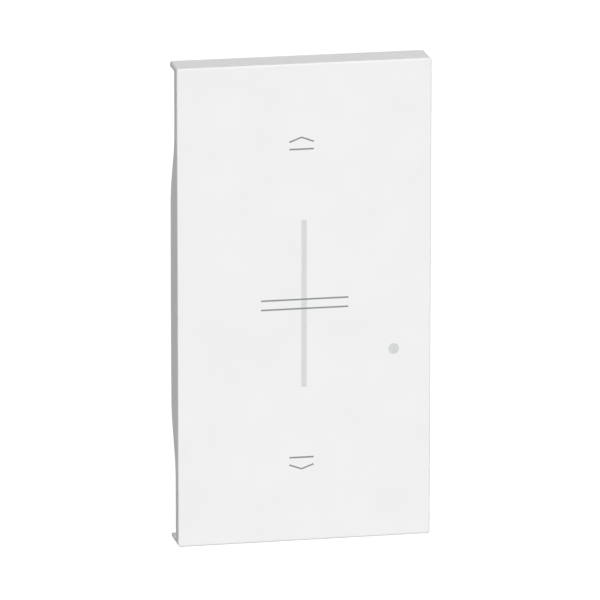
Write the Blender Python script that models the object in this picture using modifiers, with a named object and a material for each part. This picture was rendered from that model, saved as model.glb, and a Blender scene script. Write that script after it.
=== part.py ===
"""A dimmer wall switch with one tall rocking key, built as an assembly of separate pieces.

The key faces -Y and +Z is up. The back of the mounting strap lies on the wall, which is the plane y = 0.
Depths are stacked from that plane: forwards through the chassis, control board and cradle to the key's
face, and backwards through the housing that sits in the wall box. All sizes are in metres.
"""

import math

import bmesh
import bpy
from mathutils import Matrix, Vector

# Clearances
SEAT_GAP = 0.0003
SOLDER_GAP = 0.0002
WINDOW_CLEARANCE = 0.00005
PIN_CLEARANCE = 0.00008
BUTTON_CLEARANCE = 0.0001
SCREW_CLEARANCE = 0.0002
SPIGOT_CLEARANCE = 0.0003

# Key
KEY_WIDTH = 0.0450
KEY_HEIGHT = 0.0858
FACE_THICKNESS = 0.0018
EDGE_RADIUS = 0.00028
KEY_CORNER = 0.0004
LIP_DEPTH = 0.0065
LIP_THICKNESS = 0.0009
SIDE_WALL = 0.0012
RIM_DEPTH = 0.0026
SKIRT_DEPTH = 0.0066
SKIRT_CROWN = 0.00025
SKIRT_LENGTH = 0.0400
SKIRT_RAMP = 0.0090
HOOK_WIDTH = 0.0030
HOOK_THICKNESS = 0.0012
HOOK_BARB = 0.0007
HOOK_TIP = 0.0012
HOOK_SPREAD = 0.0240
HOOK_INSET = 0.0080

# Light windows in the key
LIGHT_BAR_WIDTH = 0.00095
LIGHT_BAR_LENGTH = 0.0300
LIGHT_BAR_OFFSET = -0.0001
STATUS_DIAMETER = 0.0019
STATUS_INSET = 0.0066
STATUS_DROP = 0.0089
LIGHT_FLANGE = 0.0010
LIGHT_FLANGE_THICKNESS = 0.0010
LIGHT_TAIL = 0.0012

# Cradle and hinge
CRADLE_THICKNESS = 0.0022
CRADLE_SIDE_GAP = 0.0023
CRADLE_END = 0.0045
CRADLE_CORNER = 0.0020
EAR_THICKNESS = 0.0028
EAR_RADIUS = 0.0017
EAR_REACH = 0.0025
PILLAR_THICKNESS = 0.0025
PILLAR_RADIUS = 0.0016
PIN_DIAMETER = 0.0015

# Return springs
SPRING_RADIUS = 0.0020
SPRING_WIRE = 0.0005
SPRING_TURNS = 3.0
CHASSIS_SPIGOT = 0.0018
CRADLE_SPIGOT = 0.0008

# Control board and what it carries
BOARD_THICKNESS = 0.0012
BOARD_SIDE_INSET = 0.0015
BOARD_TO_SPRING = 0.0035
BOARD_NOTCH_GAP = 0.0006
BOARD_CORNER = 0.0010
PEG_DIAMETER = 0.0018
PEG_INSET = 0.0022
PEG_HEAD = 0.0005
SWITCH_SIZE = 0.0060
SWITCH_HEIGHT = 0.0019
SWITCH_HEADROOM = 0.0013
SWITCH_OFFSET_X = 0.0085
SWITCH_OFFSET_Z = 0.0100
SWITCH_FLOOR = 0.0004
BUTTON_DIAMETER = 0.0032
BUTTON_GAP = 0.0002
BUTTON_TRAVEL = 0.0007
LED_WIDTH = 0.0013
LED_LENGTH = 0.0020
LED_HEIGHT = 0.0007
LEVEL_LED_COUNT = 5
LEVEL_LED_PITCH = 0.0060
CHIP_SIZE = 0.0050
CHIP_HEIGHT = 0.0009
CHIP_OFFSET_X = 0.0080
CHIP_OFFSET_Z = 0.0100
HEADER_WIDTH = 0.0025
HEADER_LENGTH = 0.0100
HEADER_OFFSET_X = 0.0080

# Chassis
CHASSIS_THICKNESS = 0.0015
CHASSIS_END = 0.0033
CHASSIS_CORNER = 0.0015
BOSS_DIAMETER = 0.0044
BOSS_HEIGHT = 0.0015
STAKE_DIAMETER = 0.0020
STAKE_OFFSET_Z = 0.0130
POST_DIAMETER = 0.0024
POST_HEIGHT = 0.0032
POST_INSET = 0.0035

# Mounting strap
STRAP_THICKNESS = 0.0010
STRAP_REVEAL = 0.0005
STRAP_BAND = 0.0042
STRAP_END = 0.0055
STRAP_CORNER = 0.0030
STRAP_OVERLAP = 0.0009
FIXING_SPACING = 0.0600
FIXING_SLOT_WIDTH = 0.0046
FIXING_SLOT_LENGTH = 0.0090
FIXING_SLOT_MARGIN = 0.0009

# Rear housing and its screws
HOUSING_DEPTH = 0.0205
HOUSING_WALL = 0.0015
HOUSING_CORNER = 0.0015
FLANGE_THICKNESS = 0.0015
FLANGE_LAND = 0.0054
RIB_WIDTH = 0.0014
RIB_DEPTH = 0.0009
RIB_OFFSET_Z = 0.0086
SCREW_DIAMETER = 0.0022
SCREW_LENGTH = 0.0042
SCREW_HEAD_DIAMETER = 0.0040
SCREW_HEAD_HEIGHT = 0.0014
SCREW_SLOT_WIDTH = 0.0006
SCREW_SLOT_DEPTH = 0.0007
SCREW_CROSS_LENGTH = 0.0024
SCREW_INSET = 0.0030

# Power board and what it carries
POWER_BOARD_THICKNESS = 0.0016
POWER_BOARD_EDGE = 0.0005
ROW_GAP = 0.0008
ROW_SIDE_GAP = 0.0015
BULK_DIAMETER = 0.0063
BULK_HEIGHT = 0.0090
FUSE_DIAMETER = 0.0052
FUSE_HEIGHT = 0.0060
FILM_WIDTH = 0.0040
FILM_LENGTH = 0.0100
FILM_HEIGHT = 0.0085
CHOKE_RADIUS = 0.0034
CORE_RADIUS = 0.0011
CHOKE_WIRE = 0.0004
CHOKE_TURNS = 10
CHOKE_SPAN = 300.0
HEAT_SINK_THICKNESS = 0.0012
HEAT_SINK_DEPTH = 0.0095
TRANSISTOR_WIDTH = 0.0084
TRANSISTOR_THICKNESS = 0.0028
TRANSISTOR_DEPTH = 0.0060
TRANSISTOR_LEG = 0.0025
TRANSISTOR_LEG_WIDTH = 0.0007
TRANSISTOR_LEG_PITCH = 0.0024
TRANSISTOR_GAP = 0.0010

# Wire terminals
TERMINAL_COUNT = 3
CAGE_OPENING = 0.0048
CAGE_WALL = 0.0008
CAGE_LENGTH = 0.0080
CAGE_SIDE_GAP = 0.0006
CAGE_LEG_WIDTH = 0.0012
TERMINAL_SCREW_DIAMETER = 0.0028
TERMINAL_HEAD_DIAMETER = 0.0040
TERMINAL_HEAD_HEIGHT = 0.0016

# How finely round shapes are cut, and how far joined shapes run into each other
ROUND_SIDES = 16
WINDOW_SIDES = 24
CORNER_STEPS = 4
CROWN_STEPS = 8
CURL_STEPS = 8
BEVEL_STEPS = 3
SMALL_BEVEL = 0.0002
OVERRUN = 0.0005
WELD = 0.000001
SMOOTH_ANGLE = math.radians(35)

# Depths along Y, stacked forwards from the wall
strap_front = -STRAP_THICKNESS
chassis_back = strap_front - SEAT_GAP
chassis_front = chassis_back - CHASSIS_THICKNESS
board_back = chassis_front - SEAT_GAP
board_front = board_back - BOARD_THICKNESS
switch_back = board_front - SOLDER_GAP
switch_front = switch_back - SWITCH_HEIGHT
cradle_back = switch_front - SWITCH_HEADROOM
cradle_front = cradle_back - CRADLE_THICKNESS
face_back = cradle_front - SEAT_GAP
face_front = face_back - FACE_THICKNESS
hinge_y = cradle_back + EAR_REACH
light_tail_end = cradle_back + LIGHT_TAIL

# Depths along Y, stacked backwards from the chassis
flange_front = chassis_back + SEAT_GAP
flange_back = flange_front + FLANGE_THICKNESS
power_front = chassis_back + POST_HEIGHT + SEAT_GAP
power_back = power_front + POWER_BOARD_THICKNESS
parts_front = power_back + SOLDER_GAP
housing_back = flange_front + HOUSING_DEPTH
housing_floor = housing_back - HOUSING_WALL

# Half widths along X, from the key inwards
key_half = KEY_WIDTH / 2
cradle_half = key_half - SIDE_WALL - CRADLE_SIDE_GAP
pillar_inner = cradle_half - PILLAR_THICKNESS
ear_outer = pillar_inner - SEAT_GAP
ear_inner = ear_outer - EAR_THICKNESS
board_half = cradle_half - BOARD_SIDE_INSET
strap_half = cradle_half + STRAP_REVEAL
window_half = strap_half - STRAP_BAND
housing_half = window_half - SEAT_GAP
room_half = housing_half - HOUSING_WALL
status_x = key_half - STATUS_INSET

# Half heights along Z, from the wall fixings inwards
key_top = KEY_HEIGHT / 2
fixing_z = FIXING_SPACING / 2
chassis_top = fixing_z - FIXING_SLOT_WIDTH / 2 - FIXING_SLOT_MARGIN
spring_z = chassis_top - CHASSIS_END
cradle_top = spring_z + CRADLE_END
hook_z = cradle_top - HOOK_INSET
board_top = spring_z - SPRING_RADIUS - SPRING_WIRE / 2 - BOARD_TO_SPRING
window_top = chassis_top - STRAP_OVERLAP
flange_top = window_top - SEAT_GAP
housing_top = flange_top - FLANGE_LAND
room_top = housing_top - HOUSING_WALL
screw_z = housing_top + FLANGE_LAND / 2
screw_x = housing_half - SCREW_INSET
screw_hole = SCREW_DIAMETER + 2 * SCREW_CLEARANCE
spigot_diameter = 2 * (SPRING_RADIUS - SPIGOT_CLEARANCE) - SPRING_WIRE

# Rows on the power board, stacked up from the housing's lower wall
cage_outer = CAGE_OPENING + 2 * CAGE_WALL
cage_bottom = -room_top + SEAT_GAP + TERMINAL_HEAD_HEIGHT + SOLDER_GAP
cage_z = cage_bottom + cage_outer / 2
cage_x = room_half - CAGE_SIDE_GAP - cage_outer / 2
cage_back = housing_floor - SEAT_GAP
cage_front = cage_back - CAGE_LENGTH
terminal_screw_y = (cage_front + cage_back) / 2
low_row_z = cage_bottom + cage_outer + ROW_GAP + BULK_DIAMETER / 2
coil_radius = CORE_RADIUS + SEAT_GAP + CHOKE_WIRE / 2
choke_outer = CHOKE_RADIUS + coil_radius + CHOKE_WIRE / 2
high_row_z = low_row_z + BULK_DIAMETER / 2 + ROW_GAP + choke_outer
heat_sink_z = room_top - SEAT_GAP - HEAT_SINK_THICKNESS
transistor_z = heat_sink_z - SEAT_GAP - TRANSISTOR_THICKNESS

SIDES = {"left": -1, "right": 1}
ENDS = {"upper": 1, "lower": -1}

# Base colour, roughness, metallic and transmission of each finish
FINISHES = {
    "white_plastic": ((0.87, 0.87, 0.86), 0.45, 0.0, 0.0),
    "clear_plastic": ((0.70, 0.72, 0.72), 0.35, 0.0, 0.3),
    "grey_plastic": ((0.55, 0.56, 0.57), 0.50, 0.0, 0.0),
    "dark_plastic": ((0.05, 0.05, 0.055), 0.50, 0.0, 0.0),
    "steel": ((0.62, 0.63, 0.64), 0.35, 1.0, 0.0),
    "brass": ((0.78, 0.60, 0.30), 0.35, 1.0, 0.0),
    "copper": ((0.72, 0.38, 0.22), 0.35, 1.0, 0.0),
    "aluminium": ((0.75, 0.76, 0.77), 0.40, 1.0, 0.0),
    "board": ((0.04, 0.20, 0.10), 0.45, 0.0, 0.0),
    "ferrite": ((0.09, 0.09, 0.10), 0.60, 0.0, 0.0),
    "film_case": ((0.75, 0.55, 0.12), 0.40, 0.0, 0.0),
    "sleeve": ((0.06, 0.09, 0.16), 0.35, 0.0, 0.0),
    "led": ((0.88, 0.86, 0.72), 0.30, 0.0, 0.0),
}

# Turns that stand a shape made along its own Z on a row axis
UPRIGHT = {
    "X": Matrix.Rotation(math.radians(90), 4, "Y"),
    "Y": Matrix.Rotation(math.radians(-90), 4, "X"),
    "Z": Matrix.Identity(4),
}
# Turns that take a flat outline to the plane across a row axis: (y, z), (x, z) or (x, y)
RIGHT_ANGLE = math.radians(90)
OUTLINE_PLANE = {
    "X": Matrix(((0, 0, 1), (1, 0, 0), (0, 1, 0))).to_4x4(),
    "Y": Matrix.Rotation(RIGHT_ANGLE, 4, "X"),
    "Z": Matrix.Identity(4),
}


def clear_scene():
    for obj in list(bpy.data.objects):
        bpy.data.objects.remove(obj, do_unlink=True)


def new_collection(name):
    collection = bpy.data.collections.new(name)
    bpy.context.scene.collection.children.link(collection)
    return collection


clear_scene()
PARTS = new_collection("dimmer_switch")
HELPERS = new_collection("dimmer_switch_helpers")


def add_helper(name, data, matrix):
    """Every shape starts as a hidden helper, which keep() turns into a piece."""
    obj = bpy.data.objects.new(name, data)
    obj.matrix_world = matrix
    obj.hide_render = True
    obj.display_type = "WIRE"
    HELPERS.objects.link(obj)
    return obj


def mesh_helper(name, bm, matrix):
    mesh = bpy.data.meshes.new(name)
    bm.to_mesh(mesh)
    bm.free()
    return add_helper(name, mesh, matrix)


def along(axis, middle, low, high):
    """A matrix that stands a shape on an axis, half way between low and high."""
    centre = Vector(middle)
    centre["XYZ".index(axis)] = (low + high) / 2
    return Matrix.Translation(centre)


def box(name, x, y, z):
    """A block between the (low, high) pairs given for each axis."""
    low, high = (Vector(ends) for ends in zip(x, y, z))
    bm = bmesh.new()
    bmesh.ops.create_cube(bm, size=1.0)
    bmesh.ops.scale(bm, vec=high - low, verts=bm.verts)
    return mesh_helper(name, bm, Matrix.Translation((low + high) / 2))


def span(middle, width):
    return (middle - width / 2, middle + width / 2)


def cylinder(name, axis, middle, radius, low, high, sides=ROUND_SIDES):
    bm = bmesh.new()
    bmesh.ops.create_cone(
        bm, cap_ends=True, segments=sides, radius1=radius, radius2=radius, depth=high - low
    )
    return mesh_helper(name, bm, along(axis, middle, low, high) @ UPRIGHT[axis])


def rod(name, place, diameter, front, back):
    """A round bar along Y at an (x, z) place."""
    return cylinder(name, "Y", (place[0], 0, place[1]), diameter / 2, front, back)


def turned(name, axis, middle, profile, sides=ROUND_SIDES):
    """A profile of (radius, place along the axis) points, running from axis to axis, spun round."""
    if profile[0][1] < profile[-1][1]:
        profile = profile[::-1]
    mesh = bpy.data.meshes.new(name)
    edges = [(i, i + 1) for i in range(len(profile) - 1)]
    mesh.from_pydata([(radius, 0, place) for radius, place in profile], edges, [])
    obj = add_helper(name, mesh, along(axis, middle, 0, 0) @ UPRIGHT[axis])
    screw = obj.modifiers.new("spin", "SCREW")
    screw.steps = sides
    screw.render_steps = sides
    screw.use_merge_vertices = True
    screw.merge_threshold = WELD
    return obj


def as_mesh(guide):
    """The guide curve made a closed mesh, with its caps welded and its faces outwards."""
    bpy.context.view_layer.update()
    graph = bpy.context.evaluated_depsgraph_get()
    mesh = bpy.data.meshes.new_from_object(guide.evaluated_get(graph))
    bm = bmesh.new()
    bm.from_mesh(mesh)
    bmesh.ops.remove_doubles(bm, verts=bm.verts, dist=WELD)
    bmesh.ops.recalc_face_normals(bm, faces=bm.faces)
    bpy.data.meshes.remove(mesh)
    name, matrix = guide.name, guide.matrix_world.copy()
    bpy.data.objects.remove(guide, do_unlink=True)
    return mesh_helper(name, bm, matrix)


def prism(name, axis, outline, low, high):
    """A flat outline pushed along an axis from low to high."""
    curve = bpy.data.curves.new(name, "CURVE")
    curve.dimensions = "2D"
    curve.fill_mode = "BOTH"
    curve.extrude = (high - low) / 2
    spline = curve.splines.new("POLY")
    spline.points.add(len(outline) - 1)
    for point, (u, v) in zip(spline.points, outline):
        point.co = (u, v, 0, 1)
    spline.use_cyclic_u = True
    return as_mesh(add_helper(name, curve, along(axis, (0, 0, 0), low, high) @ OUTLINE_PLANE[axis]))


def tube(name, points, diameter):
    """One unbroken wire along the points."""
    curve = bpy.data.curves.new(name, "CURVE")
    curve.dimensions = "3D"
    curve.bevel_depth = diameter / 2
    curve.bevel_resolution = 1
    curve.use_fill_caps = True
    spline = curve.splines.new("POLY")
    spline.points.add(len(points) - 1)
    for point, place in zip(spline.points, points):
        point.co = (*place, 1)
    return as_mesh(add_helper(name, curve, Matrix.Identity(4)))


def arc(middle, radius, start, end, steps):
    """Points on a circle from the start angle to the end angle, in degrees."""
    angles = [math.radians(start + (end - start) * i / steps) for i in range(steps + 1)]
    return [(middle[0] + radius * math.cos(a), middle[1] + radius * math.sin(a)) for a in angles]


def rounded_rectangle(half_u, half_v, radius, middle=(0, 0)):
    points = []
    for quarter, (u, v) in enumerate(((1, 1), (-1, 1), (-1, -1), (1, -1))):
        corner = (middle[0] + u * (half_u - radius), middle[1] + v * (half_v - radius))
        points += arc(corner, radius, 90 * quarter, 90 * quarter + 90, CORNER_STEPS)
    return points


def slot_outline(length, width, middle):
    """A slot along the first direction, with round ends."""
    reach = (length - width) / 2
    right = arc((middle[0] + reach, middle[1]), width / 2, -90, 90, 2 * CORNER_STEPS)
    left = arc((middle[0] - reach, middle[1]), width / 2, 90, 270, 2 * CORNER_STEPS)
    return right + left


def lug_outline(root, tip, radius):
    """A lug in the (y, z) plane, from a flat root to a round end about the tip."""
    away = 0 if tip > root else 180
    end = arc((tip, 0), radius, away - 90, away + 90, 2 * CORNER_STEPS)
    return [(root, end[-1][1]), (root, end[0][1])] + end


def combine(target, operation, tools):
    for tool in tools:
        boolean = target.modifiers.new(tool.name, "BOOLEAN")
        boolean.operation = operation
        boolean.object = tool
        boolean.solver = "EXACT"


def cut(target, *tools):
    combine(target, "DIFFERENCE", tools)


def join(target, *tools):
    combine(target, "UNION", tools)


def soften(target, width=SMALL_BEVEL, segments=1):
    bevel = target.modifiers.new("rounded_edges", "BEVEL")
    bevel.width = width
    bevel.segments = segments
    bevel.limit_method = "ANGLE"


def keep(obj, finish, carrier=None):
    """Makes a helper a piece of the object, with its own material, carried by an axis where it moves."""
    HELPERS.objects.unlink(obj)
    PARTS.objects.link(obj)
    obj.hide_render = False
    obj.display_type = "TEXTURED"
    colour, roughness, metallic, transmission = FINISHES[finish]
    material = bpy.data.materials.new(obj.name)
    material.use_nodes = True
    shader = material.node_tree.nodes["Principled BSDF"]
    shader.inputs["Base Color"].default_value = (*colour, 1)
    shader.inputs["Roughness"].default_value = roughness
    shader.inputs["Metallic"].default_value = metallic
    shader.inputs["Transmission Weight"].default_value = transmission
    obj.data.materials.append(material)
    if obj.data.polygons:
        obj.data.shade_smooth()
        obj.data.set_sharp_from_angle(angle=SMOOTH_ANGLE)
    if carrier:
        obj.parent = carrier
        obj.location -= carrier.location
    return obj


def print_least_gap(name, points, diameter):
    """Prints the least clear space between a wire's turns, on points at least half a turn apart."""
    spans = (
        (Vector(a) - Vector(b)).length
        for i, a in enumerate(points)
        for b in points[i + CURL_STEPS // 2 :]
    )
    print(f"{name}: least gap {1000 * (min(spans) - diameter):.2f} mm")


def make_axis(name, place):
    """An empty on the axis that a moving body turns about."""
    axis = bpy.data.objects.new(name, None)
    axis.location = place
    PARTS.objects.link(axis)
    return axis


def key_back_outline():
    """What is taken off behind the key: the back edge of its lips, thin side walls and deeper skirts."""
    lip_inner = key_top - LIP_THICKNESS
    skirt_half = SKIRT_LENGTH / 2
    half = [(LIP_DEPTH, key_top + OVERRUN), (LIP_DEPTH, lip_inner), (RIM_DEPTH, lip_inner)]
    half.append((RIM_DEPTH, skirt_half + SKIRT_RAMP))
    crown = []
    for i in range(CROWN_STEPS + 1):
        share = 1 - 2 * i / CROWN_STEPS
        crown.append((SKIRT_DEPTH - SKIRT_CROWN * share**2, share * skirt_half))
    other_half = [(depth, -z) for depth, z in reversed(half)]
    far = max(LIP_DEPTH, SKIRT_DEPTH) + 4 * OVERRUN
    edge = [(far, key_top + OVERRUN)] + half + crown + other_half + [(far, -key_top - OVERRUN)]
    return [(face_front + depth, z) for depth, z in edge]


def hook_outline(up):
    """A clip hook in the (y, z) plane: a stem through the cradle and a barb behind it."""
    catch = cradle_back + SEAT_GAP
    inner = hook_z - HOOK_THICKNESS
    points = [
        (face_back - OVERRUN, inner),
        (catch + HOOK_TIP, inner),
        (catch + HOOK_TIP, hook_z - HOOK_THICKNESS / 2),
        (catch, hook_z + HOOK_BARB),
        (catch, hook_z),
        (face_back - OVERRUN, hook_z),
    ]
    return [(y, up * z) for y, z in points][::up]


def round_front_edge(obj):
    """Marks the edge that runs round the front, and rounds that alone."""
    bpy.context.view_layer.update()
    bm = bmesh.new()
    bm.from_mesh(obj.data)
    bm.transform(obj.matrix_world)
    weight = bm.edges.layers.float.new("bevel_weight_edge")
    front = min(vert.co.y for vert in bm.verts)
    for edge in bm.edges:
        in_front = all(vert.co.y < front + WELD for vert in edge.verts)
        edge[weight] = float(in_front and edge.calc_face_angle() > RIGHT_ANGLE / 2)
    bm.transform(obj.matrix_world.inverted())
    bm.to_mesh(obj.data)
    bm.free()
    bevel = obj.modifiers.new("rounded_front", "BEVEL")
    bevel.width = EDGE_RADIUS
    bevel.segments = BEVEL_STEPS
    bevel.limit_method = "WEIGHT"


def make_key(axis):
    back = face_front + max(LIP_DEPTH, SKIRT_DEPTH) + OVERRUN
    outline = rounded_rectangle(key_half, key_top, KEY_CORNER)
    key = prism("key_cover", "Y", outline, face_front, back)
    round_front_edge(key)
    inner_half = key_half - SIDE_WALL
    inner_top = key_top - LIP_THICKNESS
    through = (face_front - OVERRUN, face_back + OVERRUN)
    cut(
        key,
        box("key_hollow", (-inner_half, inner_half), (face_back, back + OVERRUN), (-inner_top, inner_top)),
        prism("key_back_edge", "X", key_back_outline(), -key_half - OVERRUN, key_half + OVERRUN),
    )
    for side, across in SIDES.items():
        x = span(across * HOOK_SPREAD / 2, HOOK_WIDTH)
        for end, up in ENDS.items():
            join(key, prism(f"hook_{end}_{side}", "X", hook_outline(up), *x))
    status_radius = STATUS_DIAMETER / 2 + WINDOW_CLEARANCE
    cut(
        key,
        light_bar_body("light_bar_window", WINDOW_CLEARANCE, *through),
        cylinder("status_window", "Y", (status_x, 0, -STATUS_DROP), status_radius, *through, WINDOW_SIDES),
    )
    keep(key, "white_plastic", axis)


def light_bar_body(name, grow, front, back):
    """A block of the light bar's outline, grown all round."""
    x = span(LIGHT_BAR_OFFSET, LIGHT_BAR_WIDTH + 2 * grow)
    return box(name, x, (front, back), span(0, LIGHT_BAR_LENGTH + 2 * grow))


def make_light_guides(axis):
    flange_ends = (face_back + SOLDER_GAP, face_back + SOLDER_GAP + LIGHT_FLANGE_THICKNESS)
    bar = light_bar_body("level_light_bar", 0, face_front, light_tail_end)
    join(bar, light_bar_body("light_bar_flange", LIGHT_FLANGE, *flange_ends))
    keep(bar, "clear_plastic", axis)

    radius = STATUS_DIAMETER / 2
    flange_radius = radius + LIGHT_FLANGE
    profile = [(0, face_front), (radius, face_front), (radius, flange_ends[0])]
    profile += [(flange_radius, place) for place in flange_ends]
    profile += [(radius, flange_ends[1]), (radius, light_tail_end), (0, light_tail_end)]
    pipe = turned("status_light_pipe", "Y", (status_x, 0, -STATUS_DROP), profile, WINDOW_SIDES)
    keep(pipe, "clear_plastic", axis)


def make_cradle(axis):
    cradle = prism(
        "rocker_cradle",
        "Y",
        rounded_rectangle(cradle_half, cradle_top, CRADLE_CORNER),
        cradle_front,
        cradle_back,
    )
    through = (cradle_front - OVERRUN, cradle_back + OVERRUN)
    for side, across in SIDES.items():
        ear = lug_outline(cradle_back - OVERRUN, hinge_y, EAR_RADIUS)
        join(cradle, prism(f"ear_{side}", "X", ear, *sorted((across * ear_inner, across * ear_outer))))
    for end, up in ENDS.items():
        spigot_ends = (cradle_back - OVERRUN, cradle_back + CRADLE_SPIGOT)
        join(cradle, rod(f"cradle_spigot_{end}", (0, up * spring_z), spigot_diameter, *spigot_ends))
    cut(cradle, light_bar_body("light_bar_slot", LIGHT_FLANGE + SEAT_GAP, *through))
    status_hole = STATUS_DIAMETER + 2 * (LIGHT_FLANGE + SEAT_GAP)
    cut(cradle, rod("status_hole", (status_x, -STATUS_DROP), status_hole, *through))
    for side, across in SIDES.items():
        x = span(across * HOOK_SPREAD / 2, HOOK_WIDTH + 2 * SEAT_GAP)
        for end, up in ENDS.items():
            flexed = hook_z - HOOK_THICKNESS - HOOK_BARB - SEAT_GAP
            z = sorted((up * flexed, up * (hook_z + SEAT_GAP)))
            cut(cradle, box(f"hook_window_{end}_{side}", x, through, z))
        cut(cradle, hinge_hole(f"ear_hole_{side}", across * ear_inner, across * ear_outer))
    keep(cradle, "grey_plastic", axis)


def hinge_hole(name, start, end):
    low, high = sorted((start, end))
    radius = PIN_DIAMETER / 2 + PIN_CLEARANCE
    return cylinder(name, "X", (0, hinge_y, 0), radius, low - OVERRUN, high + OVERRUN)


def make_hinge_pins():
    for side, across in SIDES.items():
        low, high = sorted((across * ear_inner, across * cradle_half))
        pin = cylinder(f"hinge_pin_{side}", "X", (0, hinge_y, 0), PIN_DIAMETER / 2, low, high)
        soften(pin)
        keep(pin, "steel")


def make_springs():
    """One helix above and one below the hinge, between the chassis and the cradle."""
    start = cradle_back + SEAT_GAP + SPRING_WIRE / 2
    length = chassis_front - SEAT_GAP - SPRING_WIRE / 2 - start
    count = round(SPRING_TURNS * CURL_STEPS)
    for end, up in ENDS.items():
        points = []
        for i in range(count + 1):
            angle = math.tau * i / CURL_STEPS
            x = SPRING_RADIUS * math.cos(angle)
            z = up * spring_z + SPRING_RADIUS * math.sin(angle)
            points.append((x, start + length * i / count, z))
        keep(tube(f"{end}_return_spring", points, SPRING_WIRE), "steel")
        print_least_gap(f"{end}_return_spring", points, SPRING_WIRE)


def peg_places():
    return [
        (across * (board_half - PEG_INSET), up * (board_top - PEG_INSET))
        for across in SIDES.values()
        for up in ENDS.values()
    ]


def post_places():
    return [
        (across * (room_half - POST_INSET), up * (room_top - POST_INSET))
        for across in SIDES.values()
        for up in ENDS.values()
    ]


def screw_places():
    return {
        f"{end}_{side}": (across * screw_x, up * screw_z)
        for end, up in ENDS.items()
        for side, across in SIDES.items()
    }


def stake_places():
    middle = strap_half - STRAP_BAND / 2
    return [(across * middle, up * STAKE_OFFSET_Z) for across in SIDES.values() for up in ENDS.values()]


def make_chassis():
    chassis = prism(
        "chassis",
        "Y",
        rounded_rectangle(cradle_half, chassis_top, CHASSIS_CORNER),
        chassis_front,
        chassis_back,
    )
    inside = (chassis_front + chassis_back) / 2
    for side, across in SIDES.items():
        pillar = lug_outline(inside, hinge_y, PILLAR_RADIUS)
        ends = sorted((across * pillar_inner, across * cradle_half))
        join(chassis, prism(f"pillar_{side}", "X", pillar, *ends))
    for end, up in ENDS.items():
        tip = chassis_front - CHASSIS_SPIGOT
        join(chassis, rod(f"spigot_{end}", (0, up * spring_z), spigot_diameter, tip, inside))
    for i, place in enumerate(peg_places()):
        join(chassis, rod(f"peg_{i}", place, PEG_DIAMETER, board_front - PEG_HEAD, inside))
    for i, place in enumerate(post_places()):
        join(chassis, rod(f"post_{i}", place, POST_DIAMETER, inside, chassis_back + POST_HEIGHT))
    for i, place in enumerate(stake_places()):
        join(chassis, rod(f"stake_{i}", place, STAKE_DIAMETER, inside, -SOLDER_GAP))
    boss_front = chassis_front - BOSS_HEIGHT
    for name, place in screw_places().items():
        join(chassis, rod(f"boss_{name}", place, BOSS_DIAMETER, boss_front, inside))
    for name, place in screw_places().items():
        cut(chassis, rod(f"pilot_{name}", place, screw_hole, boss_front - OVERRUN, chassis_back + OVERRUN))
    for side, across in SIDES.items():
        cut(chassis, hinge_hole(f"pillar_hole_{side}", across * pillar_inner, across * cradle_half))
    cut(chassis, header_block("header_window", SEAT_GAP, chassis_front - OVERRUN, chassis_back + OVERRUN))
    keep(chassis, "grey_plastic")


def make_strap():
    outline = rounded_rectangle(strap_half, fixing_z + STRAP_END, STRAP_CORNER)
    strap = prism("mounting_strap", "Y", outline, strap_front, 0)
    through = (strap_front - OVERRUN, OVERRUN)
    window = rounded_rectangle(window_half, window_top, HOUSING_CORNER)
    cut(strap, prism("strap_window", "Y", window, *through))
    for end, up in ENDS.items():
        outline = slot_outline(FIXING_SLOT_LENGTH, FIXING_SLOT_WIDTH, (0, up * fixing_z))
        cut(strap, prism(f"fixing_slot_{end}", "Y", outline, *through))
    for i, place in enumerate(stake_places()):
        cut(strap, rod(f"stake_hole_{i}", place, STAKE_DIAMETER + 2 * SCREW_CLEARANCE, *through))
    keep(strap, "steel")


def header_block(name, grow, front, back):
    x = span(HEADER_OFFSET_X, HEADER_WIDTH + 2 * grow)
    return box(name, x, (front, back), span(0, HEADER_LENGTH + 2 * grow))


def make_control_board():
    outline = rounded_rectangle(board_half, board_top, BOARD_CORNER)
    board = prism("control_board", "Y", outline, board_front, board_back)
    through = (board_front - OVERRUN, board_back + OVERRUN)
    notch_z = max(EAR_RADIUS, PILLAR_RADIUS) + BOARD_NOTCH_GAP
    for side, across in SIDES.items():
        x = sorted((across * (ear_inner - BOARD_NOTCH_GAP), across * (board_half + OVERRUN)))
        cut(board, box(f"hinge_notch_{side}", x, through, (-notch_z, notch_z)))
    for i, place in enumerate(peg_places()):
        cut(board, rod(f"peg_hole_{i}", place, PEG_DIAMETER + 2 * SEAT_GAP, *through))
    keep(board, "board")
    keep(header_block("board_header", 0, board_back + SOLDER_GAP, power_front - SOLDER_GAP), "dark_plastic")


def make_switches():
    radius = BUTTON_DIAMETER / 2
    bore = BUTTON_DIAMETER + 2 * BUTTON_CLEARANCE
    bore_floor = switch_back - SWITCH_FLOOR
    tip = cradle_back + BUTTON_GAP
    heel = bore_floor - BUTTON_TRAVEL
    profile = [(0, tip), (radius - SMALL_BEVEL, tip), (radius, tip + SMALL_BEVEL)]
    profile += [(radius, heel), (0, heel)]
    for end, up in ENDS.items():
        x, z = -SWITCH_OFFSET_X, up * SWITCH_OFFSET_Z
        switch_ends = (switch_front, switch_back)
        body = box(f"{end}_switch_body", span(x, SWITCH_SIZE), switch_ends, span(z, SWITCH_SIZE))
        soften(body)
        cut(body, rod(f"button_bore_{end}", (x, z), bore, switch_front - OVERRUN, bore_floor))
        keep(body, "dark_plastic")
        keep(turned(f"{end}_switch_button", "Y", (x, 0, z), profile), "white_plastic")


def make_small_block(name, middle, size, finish):
    """A block of (width, height off the board, length), soldered on the front of the control board."""
    back = board_front - SOLDER_GAP
    block = box(name, span(middle[0], size[0]), (back - size[1], back), span(middle[1], size[2]))
    soften(block, SMALL_BEVEL / 2)
    keep(block, finish)


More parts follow.
